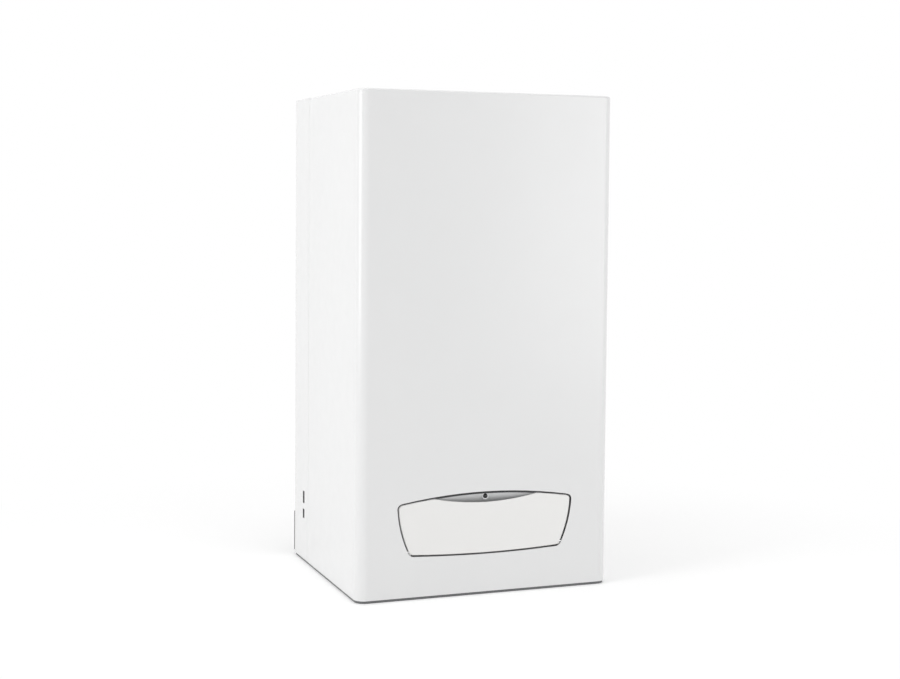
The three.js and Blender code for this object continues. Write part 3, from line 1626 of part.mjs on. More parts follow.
// The filling tap's knob about its axis. Local origin in the plane of the block's underside.
function fillingTapKnob() {
  const [wingSheet, wingHeight] = tapWing;
  const bottom = -tapKnobTop - tapKnobLength;
  const wings = [0, 1, 2].map((i) => {
    const wing = new THREE.BoxGeometry(2 * tapKnobRadius, wingSheet, wingHeight);
    wing.rotateZ((Math.PI * i) / 3);
    wing.translate(0, 0, bottom + wingHeight / 2);
    return solid(wing);
  });
  return joined(
    bar('z', 2 * tapStem, bottom, -tapKnobTop, [0, 0], 16),
    bar('z', tapStem, -tapKnobTop - 1, tapStemReach, [0, 0], 12),
    ...wings,
  );
}

function airVent() {
  const place = [ventX, pipeY];
  const top = blockTop + ventHeight;
  const shoulder = top - ventNose;
  return joined(
    bar('z', 0.7 * ventRadius, blockTop, blockTop + ventNeck, place, 16),
    bar('z', ventRadius, blockTop + ventNeck - 1, shoulder, place, 20),
    bar('z', ventRadius / 2, shoulder - 1, top, place, 12),
  );
}

// ---------------------------------------------------------------- assembly

const finishes = {
  whiteEnamel: { color: 0xe9e9e6, roughness: 0.35, metalness: 0 },
  flapPlastic: { color: 0xececea, roughness: 0.3, metalness: 0 },
  silverPlastic: { color: 0xa9abad, roughness: 0.4, metalness: 0.2 },
  darkPlastic: { color: 0x3a3c3f, roughness: 0.5, metalness: 0 },
  blackGloss: { color: 0x101113, roughness: 0.15, metalness: 0 },
  chrome: { color: 0xd5d8db, roughness: 0.15, metalness: 1 },
  glass: { color: 0x9fb4bd, roughness: 0.05, metalness: 0 },
  galvanised: { color: 0xb5b8ba, roughness: 0.45, metalness: 0.9 },
  copper: { color: 0xb8704a, roughness: 0.35, metalness: 1 },
  brass: { color: 0xb99a58, roughness: 0.35, metalness: 1 },
  castIron: { color: 0x35383a, roughness: 0.7, metalness: 0.4 },
  aluminium: { color: 0xc0c2c4, roughness: 0.5, metalness: 0.9 },
  insulation: { color: 0xcfc8b8, roughness: 0.95, metalness: 0 },
  circuitBoard: { color: 0x2e6b3c, roughness: 0.5, metalness: 0 },
  redPaint: { color: 0xb23328, roughness: 0.5, metalness: 0 },
  greyPlastic: { color: 0x8a8d90, roughness: 0.5, metalness: 0 },
};

const materials = Object.fromEntries(
  Object.entries(finishes).map(([name, values]) => [name, new THREE.MeshStandardMaterial(values)]),
);

function piece(name, body, finish, place = [0, 0, 0], turn = 0) {
  const mesh = new THREE.Mesh(geometryOf(body), materials[finish]);
  mesh.name = name;
  mesh.position.set(...place);
  mesh.rotation.y = turn;
  return mesh;
}

const shellGroup = new THREE.Group();
shellGroup.add(
  piece('rear_chassis', rearChassis(), 'whiteEnamel'),
  piece('hanging_rail', hangingRail(), 'galvanised'),
  piece('lower_rail', lowerRail(), 'galvanised'),
  piece('top_panel', topPanel(), 'whiteEnamel'),
  piece('bottom_cover', bottomCover(), 'darkPlastic'),
  piece('cable_gland', cableGland(), 'darkPlastic'),
);

const casingGroup = new THREE.Group();
casingGroup.add(
  piece('front_casing', frontCasing(), 'whiteEnamel'),
  piece('control_flap', controlFlap(), 'flapPlastic'),
  piece('flap_hinge_pin_left', hingePin(-1), 'chrome'),
  piece('flap_hinge_pin_right', hingePin(1), 'chrome'),
);

const needleStart = THREE.MathUtils.degToRad(-135);
const consoleGroup = new THREE.Group();
consoleGroup.add(
  piece('grip_surround', gripSurround(), 'silverPlastic'),
  piece('lamp_bezel', lampBezel(), 'chrome'),
  piece('status_lamp', statusLamp(), 'blackGloss'),
  piece('console_fascia', consoleFascia(), 'silverPlastic'),
  piece('console_housing', consoleHousing(), 'darkPlastic'),
  piece('control_board', controlBoard(), 'circuitBoard'),
  piece('display_window', displayWindow(), 'glass'),
  piece('heating_knob', knob(), 'darkPlastic', [knobPlaces[0], fasciaY, controlsHeight]),
  piece('hot_water_knob', knob(), 'darkPlastic', [knobPlaces[1], fasciaY, controlsHeight]),
  piece('pressure_gauge', pressureGauge(), 'darkPlastic'),
  piece('gauge_needle', gaugeNeedle(), 'redPaint', [gaugeX, fasciaY, controlsHeight], needleStart),
  piece('gauge_lens', gaugeLens(), 'glass'),
  piece('console_bracket_left', consoleBracket(-1), 'galvanised'),
  piece('console_bracket_right', consoleBracket(1), 'galvanised'),
);
for (let i = 0; i < buttonCount; i += 1) {
  const place = [buttonX(i), fasciaY, buttonZ];
  consoleGroup.add(piece(`console_button_${i + 1}`, consoleButton(), 'greyPlastic', place));
}

const fireGroup = new THREE.Group();
fireGroup.add(
  piece('sealed_chamber', sealedChamber(), 'galvanised'),
  piece('chamber_cover', chamberCover(), 'galvanised'),
  piece('firebox', firebox(), 'insulation'),
  piece('burner', burner(), 'galvanised'),
  piece('primary_heat_exchanger', primaryHeatExchanger(), 'copper'),
  piece('flue_hood', flueHood(), 'galvanised'),
  piece('fan_housing', fanHousing(), 'aluminium'),
  piece('fan_impeller', fanImpeller(), 'galvanised', [fanX, flueY, fanHeight]),
  piece('fan_motor', fanMotor(), 'castIron'),
  piece('flue_collar', flueCollar(), 'aluminium'),
  piece('flue_tube', flueTube(), 'aluminium'),
);
screwPlaces().forEach(([x, z], index) => {
  const name = `chamber_screw_${['left', 'right'][index]}`;
  fireGroup.add(piece(name, chamberScrew(), 'chrome', [x, chamberFront - chamberSheet, z]));
});

const waterGroup = new THREE.Group();
waterGroup.add(
  piece('expansion_vessel', expansionVessel(), 'redPaint'),
  piece('vessel_pipe', vesselHose(), 'copper'),
  piece('flow_block', flowBlock(), 'brass'),
  piece('return_block', returnBlock(), 'brass'),
  piece('plate_heat_exchanger', plateHeatExchanger(), 'galvanised'),
  piece('diverter_motor', diverterMotor(), 'greyPlastic'),
  piece('diverter_spindle', diverterSpindle(), 'brass', [diverterX, blockFront, diverterHeight]),
  piece('pump_body', pumpBody(), 'castIron'),
  piece('pump_impeller', pumpImpeller(), 'darkPlastic', [pumpX, pumpFront, pumpHeight]),
  piece('pump_motor', pumpMotor(), 'darkPlastic'),
  piece('gas_valve', gasValve(), 'aluminium'),
  piece('gas_tail', gasTail(), 'brass'),
  piece('gas_pipe', gasRiser(), 'copper'),
  piece('flow_pipe', flowPipe(), 'copper'),
  piece('return_pipe', returnPipe(), 'copper'),
  piece('safety_valve', safetyValve(), 'brass'),
  piece('safety_valve_knob', safetyKnob(), 'redPaint', [safetyX, safetyFront, safetyHeight]),
  piece('filling_tap_knob', fillingTapKnob(), 'darkPlastic', [tapX, pipeY, blockBottom]),
  piece('air_vent', airVent(), 'brass'),
);

const group = new THREE.Group();
group.add(shellGroup, casingGroup, consoleGroup, fireGroup, waterGroup);

export default group;
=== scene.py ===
import json
import math

import bmesh
import bpy
from mathutils import Matrix, Quaternion, Vector


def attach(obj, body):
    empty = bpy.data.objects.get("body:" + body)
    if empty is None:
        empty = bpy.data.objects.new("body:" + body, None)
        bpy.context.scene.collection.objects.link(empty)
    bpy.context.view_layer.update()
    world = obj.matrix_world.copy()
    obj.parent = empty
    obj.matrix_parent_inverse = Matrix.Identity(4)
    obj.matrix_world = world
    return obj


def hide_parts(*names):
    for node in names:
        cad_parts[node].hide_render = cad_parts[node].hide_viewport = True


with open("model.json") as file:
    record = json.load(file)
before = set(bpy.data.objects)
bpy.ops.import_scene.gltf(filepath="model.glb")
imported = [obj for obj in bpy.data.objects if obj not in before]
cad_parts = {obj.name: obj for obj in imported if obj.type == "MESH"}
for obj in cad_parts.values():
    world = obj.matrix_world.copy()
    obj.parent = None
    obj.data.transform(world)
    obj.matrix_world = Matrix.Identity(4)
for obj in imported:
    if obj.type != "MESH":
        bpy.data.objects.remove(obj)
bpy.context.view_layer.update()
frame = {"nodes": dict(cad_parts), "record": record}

scene = bpy.context.scene
nodes = frame["nodes"]
slots = {row["node"]: row["material_slot"] for row in frame["record"]["subparts"]}

# Sizes of the drawn pieces are in millimetres. Meshes and lights are in metres.
MM = 0.001
X, Y, Z = Vector((1.0, 0.0, 0.0)), Vector((0.0, 1.0, 0.0)), Vector((0.0, 0.0, 1.0))

# Edges that turn by more than this are rounded, and stay sharp in the shading.
SHARP_ANGLE = math.radians(38.0)

# Corners that are nearer than this, in metres, are the same corner.
SAME_CORNER = 0.00001


# ------------------------------------------------------------------ camera

# Fitted to the edges of the box in the photograph: metres, degrees and millimetres of film.
CAMERA_PLACE = (-0.8598, -2.2843, 0.5849)
CAMERA_AZIMUTH, CAMERA_PITCH, CAMERA_ROLL = 20.733, -3.368, 0.501
CAMERA_LENS, CAMERA_FILM = 62.28, 36.0
CAMERA_SHIFT_UP = -0.055
CAMERA_NEAR, CAMERA_FAR = 0.05, 100.0


def make_camera():
    data = bpy.data.cameras.new("photo_camera")
    data.sensor_width = CAMERA_FILM
    data.lens = CAMERA_LENS
    data.shift_y = CAMERA_SHIFT_UP
    data.clip_start, data.clip_end = CAMERA_NEAR, CAMERA_FAR
    camera = bpy.data.objects.new("photo_camera", data)
    scene.collection.objects.link(camera)
    azimuth = math.radians(CAMERA_AZIMUTH)
    pitch = math.radians(CAMERA_PITCH)
    roll = math.radians(CAMERA_ROLL)
    forward = Vector((
        math.sin(azimuth) * math.cos(pitch),
        math.cos(azimuth) * math.cos(pitch),
        math.sin(pitch),
    ))
    level = Vector((math.cos(azimuth), -math.sin(azimuth), 0.0))
    above = level.cross(forward)
    right = level * math.cos(roll) + above * math.sin(roll)
    up = above * math.cos(roll) - level * math.sin(roll)
    turn = Matrix((right, up, -forward)).transposed()
    camera.matrix_world = Matrix.Translation(CAMERA_PLACE) @ turn.to_4x4()
    scene.camera = camera


make_camera()


# ------------------------------------------------------------------ materials

class Tree:
    """A material's node tree with short calls for the nodes used here."""

    def __init__(self, name):
        self.material = bpy.data.materials.new(name)
        self.material.use_nodes = True
        self.nodes = self.material.node_tree.nodes
        self.links = self.material.node_tree.links
        self.nodes.clear()
        output = self.nodes.new("ShaderNodeOutputMaterial")
        self.shader = self.nodes.new("ShaderNodeBsdfPrincipled")
        self.links.new(self.shader.outputs["BSDF"], output.inputs["Surface"])
        self.place = self.nodes.new("ShaderNodeTexCoord").outputs["Object"]

    def set(self, **values):
        for name, value in values.items():
            self.shader.inputs[name.replace("_", " ")].default_value = value

    def mapped(self, **values):
        """The object's coordinates, turned or scaled."""
        mapping = self.nodes.new("ShaderNodeMapping")
        for name, value in values.items():
            mapping.inputs[name].default_value = value
        self.links.new(self.place, mapping.inputs["Vector"])
        return mapping.outputs["Vector"]

    def noise(self, scale, detail=2.0, roughness=0.5, vector=None):
        node = self.nodes.new("ShaderNodeTexNoise")
        node.inputs["Scale"].default_value = scale
        node.inputs["Detail"].default_value = detail
        node.inputs["Roughness"].default_value = roughness
        self.links.new(vector or self.place, node.inputs["Vector"])
        return node.outputs["Fac"]

    def bricks(self, vector, scale, line, colours):
        """A grid of cells of two near colours, with lines of a third between them."""
        node = self.nodes.new("ShaderNodeTexBrick")
        node.inputs["Scale"].default_value = scale
        node.inputs["Mortar Size"].default_value = line
        for name, colour in zip(("Color1", "Color2", "Mortar"), colours):
            node.inputs[name].default_value = (*colour, 1.0)
        self.links.new(vector, node.inputs["Vector"])
        return node

    def between(self, value, low, high, start=0.3, end=0.7):
        node = self.nodes.new("ShaderNodeMapRange")
        node.inputs["From Min"].default_value = start
        node.inputs["From Max"].default_value = end
        node.inputs["To Min"].default_value = low
        node.inputs["To Max"].default_value = high
        self.links.new(value, node.inputs["Value"])
        return node.outputs["Result"]

    def colour(self, socket):
        self.links.new(socket, self.shader.inputs["Base Color"])

    def shades(self, value, stops):
        """The base colour, run between (position, colour) stops by a value."""
        node = self.nodes.new("ShaderNodeValToRGB")
        elements = node.color_ramp.elements
        while len(elements) < len(stops):
            elements.new(0.5)
        for element, (position, colour) in zip(elements, stops):
            element.position = position
            element.color = (*colour, 1.0)
        self.links.new(value, node.inputs["Fac"])
        self.colour(node.outputs["Color"])

    def varied(self, value, colour, spread):
        """The base colour, from a little darker to a little lighter than the one given."""
        dark = [channel * (1 - spread) for channel in colour]
        light = [min(1.0, channel * (1 + spread)) for channel in colour]
        self.shades(value, [(0.3, dark), (0.7, light)])

    def rough(self, socket):
        self.links.new(socket, self.shader.inputs["Roughness"])

    def bump(self, value, strength, distance):
        node = self.nodes.new("ShaderNodeBump")
        node.inputs["Strength"].default_value = strength
        node.inputs["Distance"].default_value = distance
        self.links.new(value, node.inputs["Height"])
        self.links.new(node.outputs["Normal"], self.shader.inputs["Normal"])


def coated(name, colour, rough, peel, spread, grain, coat=0.0):
    """Powder coat or moulding: near-even colour, soft unevenness and a fine orange peel."""
    tree = Tree(name)
    tree.varied(tree.noise(scale=9.0), colour, spread)
    tree.rough(tree.between(tree.noise(scale=45.0, detail=3.0), rough - 0.03, rough + 0.04))
    tree.bump(tree.noise(scale=grain), strength=peel, distance=0.0002)
    if coat:
        tree.set(Coat_Weight=coat, Coat_Roughness=0.12)
    return tree.material


def metal(name, colour, rough, spread, grain, depth):
    """Bare metal: colour and gloss vary in soft patches over a fine grain."""
    tree = Tree(name)
    tree.set(Metallic=1.0)
    tree.varied(tree.noise(scale=22.0, detail=4.0, roughness=0.6), colour, spread)
    tree.rough(tree.between(tree.noise(scale=60.0, detail=4.0), rough - 0.07, rough + 0.1))
    tree.bump(tree.noise(scale=grain, detail=3.0), strength=depth, distance=0.0003)
    return tree.material


def brushed(name, colour, rough, spread, lines, depth):
    """Metal sheet: as bare metal, with fine lines along one axis in place of the grain."""
    tree = Tree(name)
    tree.set(Metallic=1.0)
    tree.varied(tree.noise(scale=22.0, detail=4.0, roughness=0.6), colour, spread)
    brushing = tree.noise(scale=1.0, detail=3.0, roughness=0.6, vector=tree.mapped(Scale=lines))
    tree.rough(tree.between(brushing, rough - 0.08, rough + 0.1))
    tree.bump(brushing, strength=depth, distance=0.0002)
    return tree.material


def spangled(name):
    """Zinc-coated sheet with its crystal pattern."""
    tree = Tree(name)
    tree.set(Metallic=1.0)
    crystals = tree.nodes.new("ShaderNodeTexVoronoi")
    crystals.inputs["Scale"].default_value = 190.0
    tree.links.new(tree.place, crystals.inputs["Vector"])
    grey = tree.nodes.new("ShaderNodeRGBToBW")
    tree.links.new(crystals.outputs["Color"], grey.inputs["Color"])
    value = grey.outputs["Val"]
    tree.shades(value, [
        (0.0, (0.55, 0.56, 0.57)), (0.5, (0.6, 0.61, 0.62)), (1.0, (0.65, 0.66, 0.68)),
    ])
    tree.rough(tree.between(value, 0.38, 0.48, start=0.2, end=0.8))
    tree.bump(tree.noise(scale=500.0), strength=0.05, distance=0.0002)
    return tree.material


def board_green(name):
    """Coated circuit board: green lacquer over a fine pattern of copper tracks."""
    tree = Tree(name)
    tracks = tree.bricks(
        tree.mapped(Scale=(1.0, 0.01, 1.0)), 160.0, 0.02,
        ((0.02, 0.12, 0.045), (0.03, 0.17, 0.06), (0.06, 0.26, 0.1)),
    )
    tree.colour(tracks.outputs["Color"])
    tree.rough(tree.between(tree.noise(scale=80.0), 0.3, 0.45))
    tree.bump(tracks.outputs["Fac"], strength=0.1, distance=0.0001)
    return tree.material


def fibre_board(name):
    """Ceramic fibre board: pale, matt, with a felted surface."""
    tree = Tree(name)
    felt = tree.mapped(Scale=(900.0, 900.0, 160.0))
    fibres = tree.noise(scale=1.0, detail=5.0, roughness=0.7, vector=felt)
    tree.shades(fibres, [(0.3, (0.56, 0.52, 0.44)), (0.7, (0.7, 0.67, 0.6))])
    tree.rough(tree.between(fibres, 0.85, 0.98))
    tree.bump(fibres, strength=0.4, distance=0.0006)
    return tree.material


def clear_pane(name):
    """Clear acrylic."""
    tree = Tree(name)
    tree.set(Transmission_Weight=1.0, IOR=1.49)
    tree.shades(tree.noise(scale=30.0), [(0.3, (0.93, 0.95, 0.96)), (0.7, (0.97, 0.98, 0.99))])
    tree.rough(tree.between(tree.noise(scale=90.0), 0.02, 0.06))
    return tree.material


def unlit_display(name):
    """An unlit display: grey-green, with the faint grid of its cells."""
    tree = Tree(name)
    grid = tree.bricks(
        tree.mapped(Rotation=(math.radians(-90.0), 0.0, 0.0)), 1000.0, 0.06,
        ((0.235, 0.27, 0.225), (0.245, 0.28, 0.232), (0.27, 0.305, 0.255)),
    )
    grid.offset = 0.0
    grid.inputs["Brick Width"].default_value = 0.9
    grid.inputs["Row Height"].default_value = 0.9
    tree.colour(grid.outputs["Color"])
    tree.rough(tree.between(tree.noise(scale=60.0), 0.16, 0.24))
    return tree.material


# Colour, roughness, strength of the peel, spread of the colour, scale of the grain, and clear
# coat if any.
coatings = {
    "white_enamel": ((0.85, 0.852, 0.852), 0.22, 0.04, 0.005, 700.0),
    "flap_plastic": ((0.905, 0.9, 0.886), 0.34, 0.03, 0.003, 700.0),
    "silver_plastic": ((0.7, 0.705, 0.71), 0.34, 0.08, 0.02, 1500.0),
    "dark_plastic": ((0.07, 0.075, 0.08), 0.48, 0.22, 0.06, 1400.0),
    "black_plastic": ((0.02, 0.02, 0.022), 0.45, 0.2, 0.08, 1200.0),
    "grey_plastic": ((0.3, 0.31, 0.32), 0.45, 0.2, 0.04, 1200.0),
    "black_gloss": ((0.004, 0.004, 0.005), 0.14, 0.01, 0.1, 400.0),
    "grey_coating": ((0.15, 0.153, 0.157), 0.5, 0.15, 0.04, 900.0),
    "red_plastic": ((0.5, 0.04, 0.03), 0.38, 0.12, 0.05, 1200.0),
    "print_white": ((0.78, 0.78, 0.77), 0.5, 0.05, 0.02, 1200.0),
    "print_grey": ((0.12, 0.125, 0.13), 0.5, 0.05, 0.04, 1200.0),
    "print_green": ((0.06, 0.28, 0.09), 0.5, 0.05, 0.04, 1200.0),
    "cast_iron_black": ((0.03, 0.03, 0.032), 0.55, 0.5, 0.15, 420.0),
    "red_paint": ((0.45, 0.035, 0.025), 0.3, 0.08, 0.04, 300.0, 0.2),
}

# Colour, roughness, spread of the colour, scale of the grain, and strength of its bump.
metals = {
    "chrome_steel": ((0.8, 0.8, 0.82), 0.14, 0.02, 300.0, 0.02),
    "cast_aluminium": ((0.6, 0.61, 0.62), 0.5, 0.06, 700.0, 0.35),
    "copper": ((0.72, 0.36, 0.22), 0.3, 0.14, 220.0, 0.06),
    "brass": ((0.66, 0.5, 0.24), 0.32, 0.1, 420.0, 0.12),
}

looks = {name: coated(name, *values) for name, values in coatings.items()}
looks.update({name: metal(name, *values) for name, values in metals.items()})
looks["stainless_steel"] = brushed(
    "stainless_steel", (0.56, 0.55, 0.54), 0.3, 0.04, lines=(900.0, 60.0, 60.0), depth=0.08,
)
for look_name, make_look in (
    ("galvanised_steel", spangled),
    ("insulation_board", fibre_board),
    ("circuit_board", board_green),
    ("clear_window", clear_pane),
    ("display_glass", unlit_display),
):
    looks[look_name] = make_look(look_name)


# ------------------------------------------------------------------ dressing the solids

def smoothing_group():
    """Shades smoothly wherever faces meet below the sharp angle."""
    group = bpy.data.node_groups.new("smooth_below_angle", "GeometryNodeTree")
    group.interface.new_socket("Geometry", in_out="INPUT", socket_type="NodeSocketGeometry")
    group.interface.new_socket("Geometry", in_out="OUTPUT", socket_type="NodeSocketGeometry")
    made = group.nodes
    source = made.new("NodeGroupInput")
    target = made.new("NodeGroupOutput")
    smooth = made.new("GeometryNodeSetShadeSmooth")
    sharp = made.new("GeometryNodeSetShadeSmooth")
    sharp.domain = "EDGE"
    sharp.inputs["Shade Smooth"].default_value = False
    angle = made.new("GeometryNodeInputMeshEdgeAngle")
    above = made.new("FunctionNodeCompare")
    above.operation = "GREATER_THAN"
    above.inputs[1].default_value = SHARP_ANGLE
    group.links.new(source.outputs[0], smooth.inputs["Geometry"])
    group.links.new(angle.outputs["Unsigned Angle"], above.inputs[0])
    group.links.new(smooth.outputs[0], sharp.inputs["Geometry"])
    group.links.new(above.outputs[0], sharp.inputs["Selection"])
    group.links.new(sharp.outputs[0], target.inputs[0])
    return group


smoothing = smoothing_group()


def soften(piece, width, segments=2):
    """Rounded edges and clean shading, without touching the piece's own mesh."""
    weld = piece.modifiers.new("weld", "WELD")
    weld.merge_threshold = SAME_CORNER
    if width:
        bevel = piece.modifiers.new("rounded_edges", "BEVEL")
        bevel.width = width * MM
        bevel.segments = segments
        bevel.limit_method = "ANGLE"
        bevel.angle_limit = SHARP_ANGLE
        bevel.use_clamp_overlap = True
    shading = piece.modifiers.new("smooth_shading", "NODES")
    shading.node_group = smoothing
    weighted = piece.modifiers.new("flat_faces", "WEIGHTED_NORMAL")
    weighted.keep_sharp = True
    weighted.weight = 80


# Edge rounding in millimetres, where it isn't the usual one.
usual_edge = 0.3
edge_groups = {
    0.0: "status_lamp expansion_vessel",
    0.1: "control_board gauge_needle",
    0.15: "lamp_bezel primary_heat_exchanger fan_impeller",
    0.2: "hanging_rail lower_rail flap_hinge_pin_left flap_hinge_pin_right gauge_lens "
         "console_bracket_left console_bracket_right sealed_chamber diverter_spindle "
         "pump_impeller",
    0.25: "top_panel front_casing",
    0.4: "bottom_cover cable_gland pressure_gauge gas_tail",
    0.45: "control_flap",
    0.5: "console_housing fan_housing safety_valve air_vent",
    0.6: "firebox fan_motor flow_block return_block safety_valve_knob filling_tap_knob",
    0.7: "console_button_1 console_button_2 console_button_3 console_button_4",
    0.8: "diverter_motor pump_body pump_motor gas_valve",
}
edges = {name: width for width, names in edge_groups.items() for name in names.split()}

# The cover shows under the casing as a mid-grey line.
other_looks = {"bottom_cover": "grey_coating"}

for node_name, node in nodes.items():
    node.data.materials.clear()
    node.data.materials.append(looks[other_looks.get(node_name, slots[node_name])])
    soften(node, edges.get(node_name, usual_edge))


# ------------------------------------------------------------------ finer pieces

def finish_piece(name, mesh, look, body="root", slot=None, stands_for=(), edge=0.0, segments=2):
    """A mesh as a piece, dressed and riding on its body. The slot argument is not used."""
    mesh.materials.clear()
    mesh.materials.append(looks[look])
    piece = bpy.data.objects.new(name, mesh)
    scene.collection.objects.link(piece)
    soften(piece, edge, segments)
    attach(piece, body)
    slot = slot or look
    if stands_for:
        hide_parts(*stands_for)


def finer(name, corners, faces, look, body="root", **rest):
    """A piece from points in millimetres and their faces."""
    mesh = bpy.data.meshes.new(name)
    mesh.from_pydata([corner * MM for corner in corners], [], faces)
    finish_piece(name, mesh, look, body, **rest)


def swept(rings, closed=False):
    """Points and outward faces of a skin over successive rings, with capped ends if not closed."""
    corners = [Vector(point) for ring in rings for point in ring]
    count, sides = len(rings), len(rings[0])
    faces = []
    for ring in range(count if closed else count - 1):
        start, after = ring * sides, (ring + 1) % count * sides
        for i in range(sides):
            j = (i + 1) % sides
            faces.append((start + i, start + j, after + j, after + i))
    if not closed:
        faces += [tuple(range(sides)), tuple(range((count - 1) * sides, count * sides))]
    work = bmesh.new()
    made = [work.verts.new(corner) for corner in corners]
    for face in faces:
        work.faces.new([made[i] for i in face])
    bmesh.ops.recalc_face_normals(work, faces=work.faces[:])
    work.verts.index_update()
    outward = [tuple(vertex.index for vertex in face.verts) for face in work.faces]
    work.free()
    return corners, outward


def around(low_a, high_a, low_b, high_b):
    """The four corners of a rectangle, in order round it."""
    return (low_a, low_b), (low_a, high_b), (high_a, high_b), (high_a, low_b)


def block(along, across, up, centre=(0.0, 0.0, 0.0), axes=(X, Y, Z)):
    """A block given by its ranges along three axes from a centre."""
    return swept([
        [Vector(centre) + a * axes[0] + b * axes[1] + c * axes[2] for b, c in around(*across, *up)]
        for a in along
    ])


def turned(profile, centre, axis="y", sides=64, closed=False, wave=None):
    """A profile of (radius, height) turned about an axis through a centre."""
    rings = []
    for row, (radius, rise) in enumerate(profile):
        ring = []
        for i in range(sides):
            angle = 2.0 * math.pi * i / sides
            reach = radius - (wave(row, angle) if wave else 0.0)
            a, b = reach * math.cos(angle), reach * math.sin(angle)
            ring.append(Vector(centre) + Vector((a, rise, b) if axis == "y" else (a, b, rise)))
        rings.append(ring)
    return swept(rings, closed)


def gathered(parts):
    """Several sets of points and faces as one."""
    corners, faces = [], []
    for part_corners, part_faces in parts:
        start = len(corners)
        corners += part_corners
        faces += [tuple(start + i for i in face) for face in part_faces]
    return corners, faces


# ------------------------------------------------------------------ the flap and the lower rail

# The front of the flap is drawn in a little, so that the gap round it reads, and its edge is
# rolled at this radius.
FLAP_DRAW, FLAP_ROLL = 0.6, 1.2

# The flap's solid in metres: points before FLAP_FRONT_Y are its front, and its hinge is at its
# foot.
FLAP_FRONT_Y, FLAP_HALF_WIDTH = -0.1702, 0.1365
FLAP_HINGE_Z, FLAP_RISE = 0.0705, 0.076

# Faces of the solid that lie within this angle of each other are one before the edge is rolled.
FLAP_FLAT = math.radians(0.04)


def rolled_flap():
    """The flap with its front edge rolled over."""
    mesh = nodes["control_flap"].data.copy()
    work = bmesh.new()
    work.from_mesh(mesh)
    bmesh.ops.remove_doubles(work, verts=work.verts[:], dist=SAME_CORNER)
    bmesh.ops.dissolve_limit(work, angle_limit=FLAP_FLAT, verts=work.verts[:], edges=work.edges[:])
    for vertex in work.verts:
        if vertex.co.y < FLAP_FRONT_Y:
            vertex.co.x *= 1.0 - FLAP_DRAW * MM / FLAP_HALF_WIDTH
            if vertex.co.z > FLAP_HINGE_Z:
                vertex.co.z -= FLAP_DRAW * MM * (vertex.co.z - FLAP_HINGE_Z) / FLAP_RISE
    work.normal_update()
    rim = []
    for edge in work.edges:
        ways = sorted(face.normal.y for face in edge.link_faces)
        front_meets_side = len(ways) == 2 and ways[0] < -0.98 and abs(ways[1]) < 0.6
        if front_meets_side:
            rim.append(edge)
    bmesh.ops.bevel(
        work, geom=rim, offset=FLAP_ROLL * MM, offset_type="OFFSET", segments=4, profile=0.5,
        affect="EDGES", clamp_overlap=False,
    )
    work.to_mesh(mesh)
    work.free()
    finish_piece("control_flap_panel", mesh, "flap_plastic", "flap", stands_for=("control_flap",))


# Half the length of the lower rail's solid, and of the bar that stands for it.
RAIL_HALF, RAIL_BAR_HALF = 198.5, 199.8


def dark_rail():
    """The lower rail out to the sides of the case, where its end shows as a dark line."""
    mesh = nodes["lower_rail"].data.copy()
    for vertex in mesh.vertices:
        vertex.co.x *= RAIL_BAR_HALF / RAIL_HALF
    finish_piece(
        "lower_rail_bar", mesh, "grey_coating", slot=slots["lower_rail"],
        stands_for=("lower_rail",), edge=0.2,
    )


rolled_flap()
dark_rail()


# ------------------------------------------------------------------ pipes

PIPE_SIDES, BEND_STEPS = 32, 10


def rounded_route(corners, bend):
    """The corners of a pipe's run with a round bend at each one."""
    points = [Vector(corners[0])]
    for before, corner, after in zip(corners, corners[1:], corners[2:]):
        middle = Vector(corner)
        into = (middle - Vector(before)).normalized()
        away = (Vector(after) - middle).normalized()
        turn = into.angle(away)
        start = middle - into * bend * math.tan(turn / 2.0)
        centre = middle + (away - into).normalized() * (bend / math.cos(turn / 2.0))
        axis = into.cross(away).normalized()
        for i in range(BEND_STEPS + 1):
            points.append(centre + Quaternion(axis, turn * i / BEND_STEPS) @ (start - centre))
    points.append(Vector(corners[-1]))
    return points


def pipe(name, node, bend, radius, route):
    """A smooth round pipe along a route, in place of a node."""
    points = rounded_route(route, bend)
    befores, afters = points[:1] + points[:-1], points[1:] + points[-1:]
    tangents = [(after - before).normalized() for before, after in zip(befores, afters)]
    angles = [2.0 * math.pi * k / PIPE_SIDES for k in range(PIPE_SIDES)]
    side = tangents[0].orthogonal().normalized()
    rings = []
    for i, (point, tangent) in enumerate(zip(points, tangents)):
        if i:
            side = tangents[i - 1].rotation_difference(tangent) @ side
        other = tangent.cross(side).normalized()
        rings.append([
            point + radius * (math.cos(angle) * side + math.sin(angle) * other) for angle in angles
        ])
    finer(name, *swept(rings), "copper", stands_for=(node,))


# The y of the tails, the place and height of the two risers, and the chamber's side.
pipe_y, riser_x, riser_y, riser_z, chamber_x = 80.0, 150.0, -20.0, 470.0, 136.3
water_radius, gas_radius, vessel_radius = 7.5, 7.5, 4.7

pipe("flow_copper_pipe", "flow_pipe", 12.0, water_radius, (
    (-chamber_x, riser_y, riser_z), (-riser_x, riser_y, riser_z), (-riser_x, riser_y, 180.0),
    (-riser_x, pipe_y, 180.0), (-riser_x, pipe_y, 105.3),
))
pipe("return_copper_pipe", "return_pipe", 12.0, water_radius, (
    (100.0, pipe_y, 195.3), (100.0, pipe_y, 231.3), (riser_x, riser_y, 231.3),
    (riser_x, riser_y, riser_z), (chamber_x, riser_y, riser_z),
))
pipe("gas_copper_pipe", "gas_pipe", 14.0, gas_radius, (
    (0.0, 45.0, 222.3), (0.0, 45.0, 246.0), (0.0, -65.0, 246.0), (0.0, -65.0, 274.9),
))
pipe("vessel_copper_pipe", "vessel_pipe", 14.0, vessel_radius, (
    (48.0, 133.0, 289.7), (48.0, 133.0, 195.0), (48.0, pipe_y, 195.0), (48.0, pipe_y, 95.3),
))


# ------------------------------------------------------------------ the console's controls

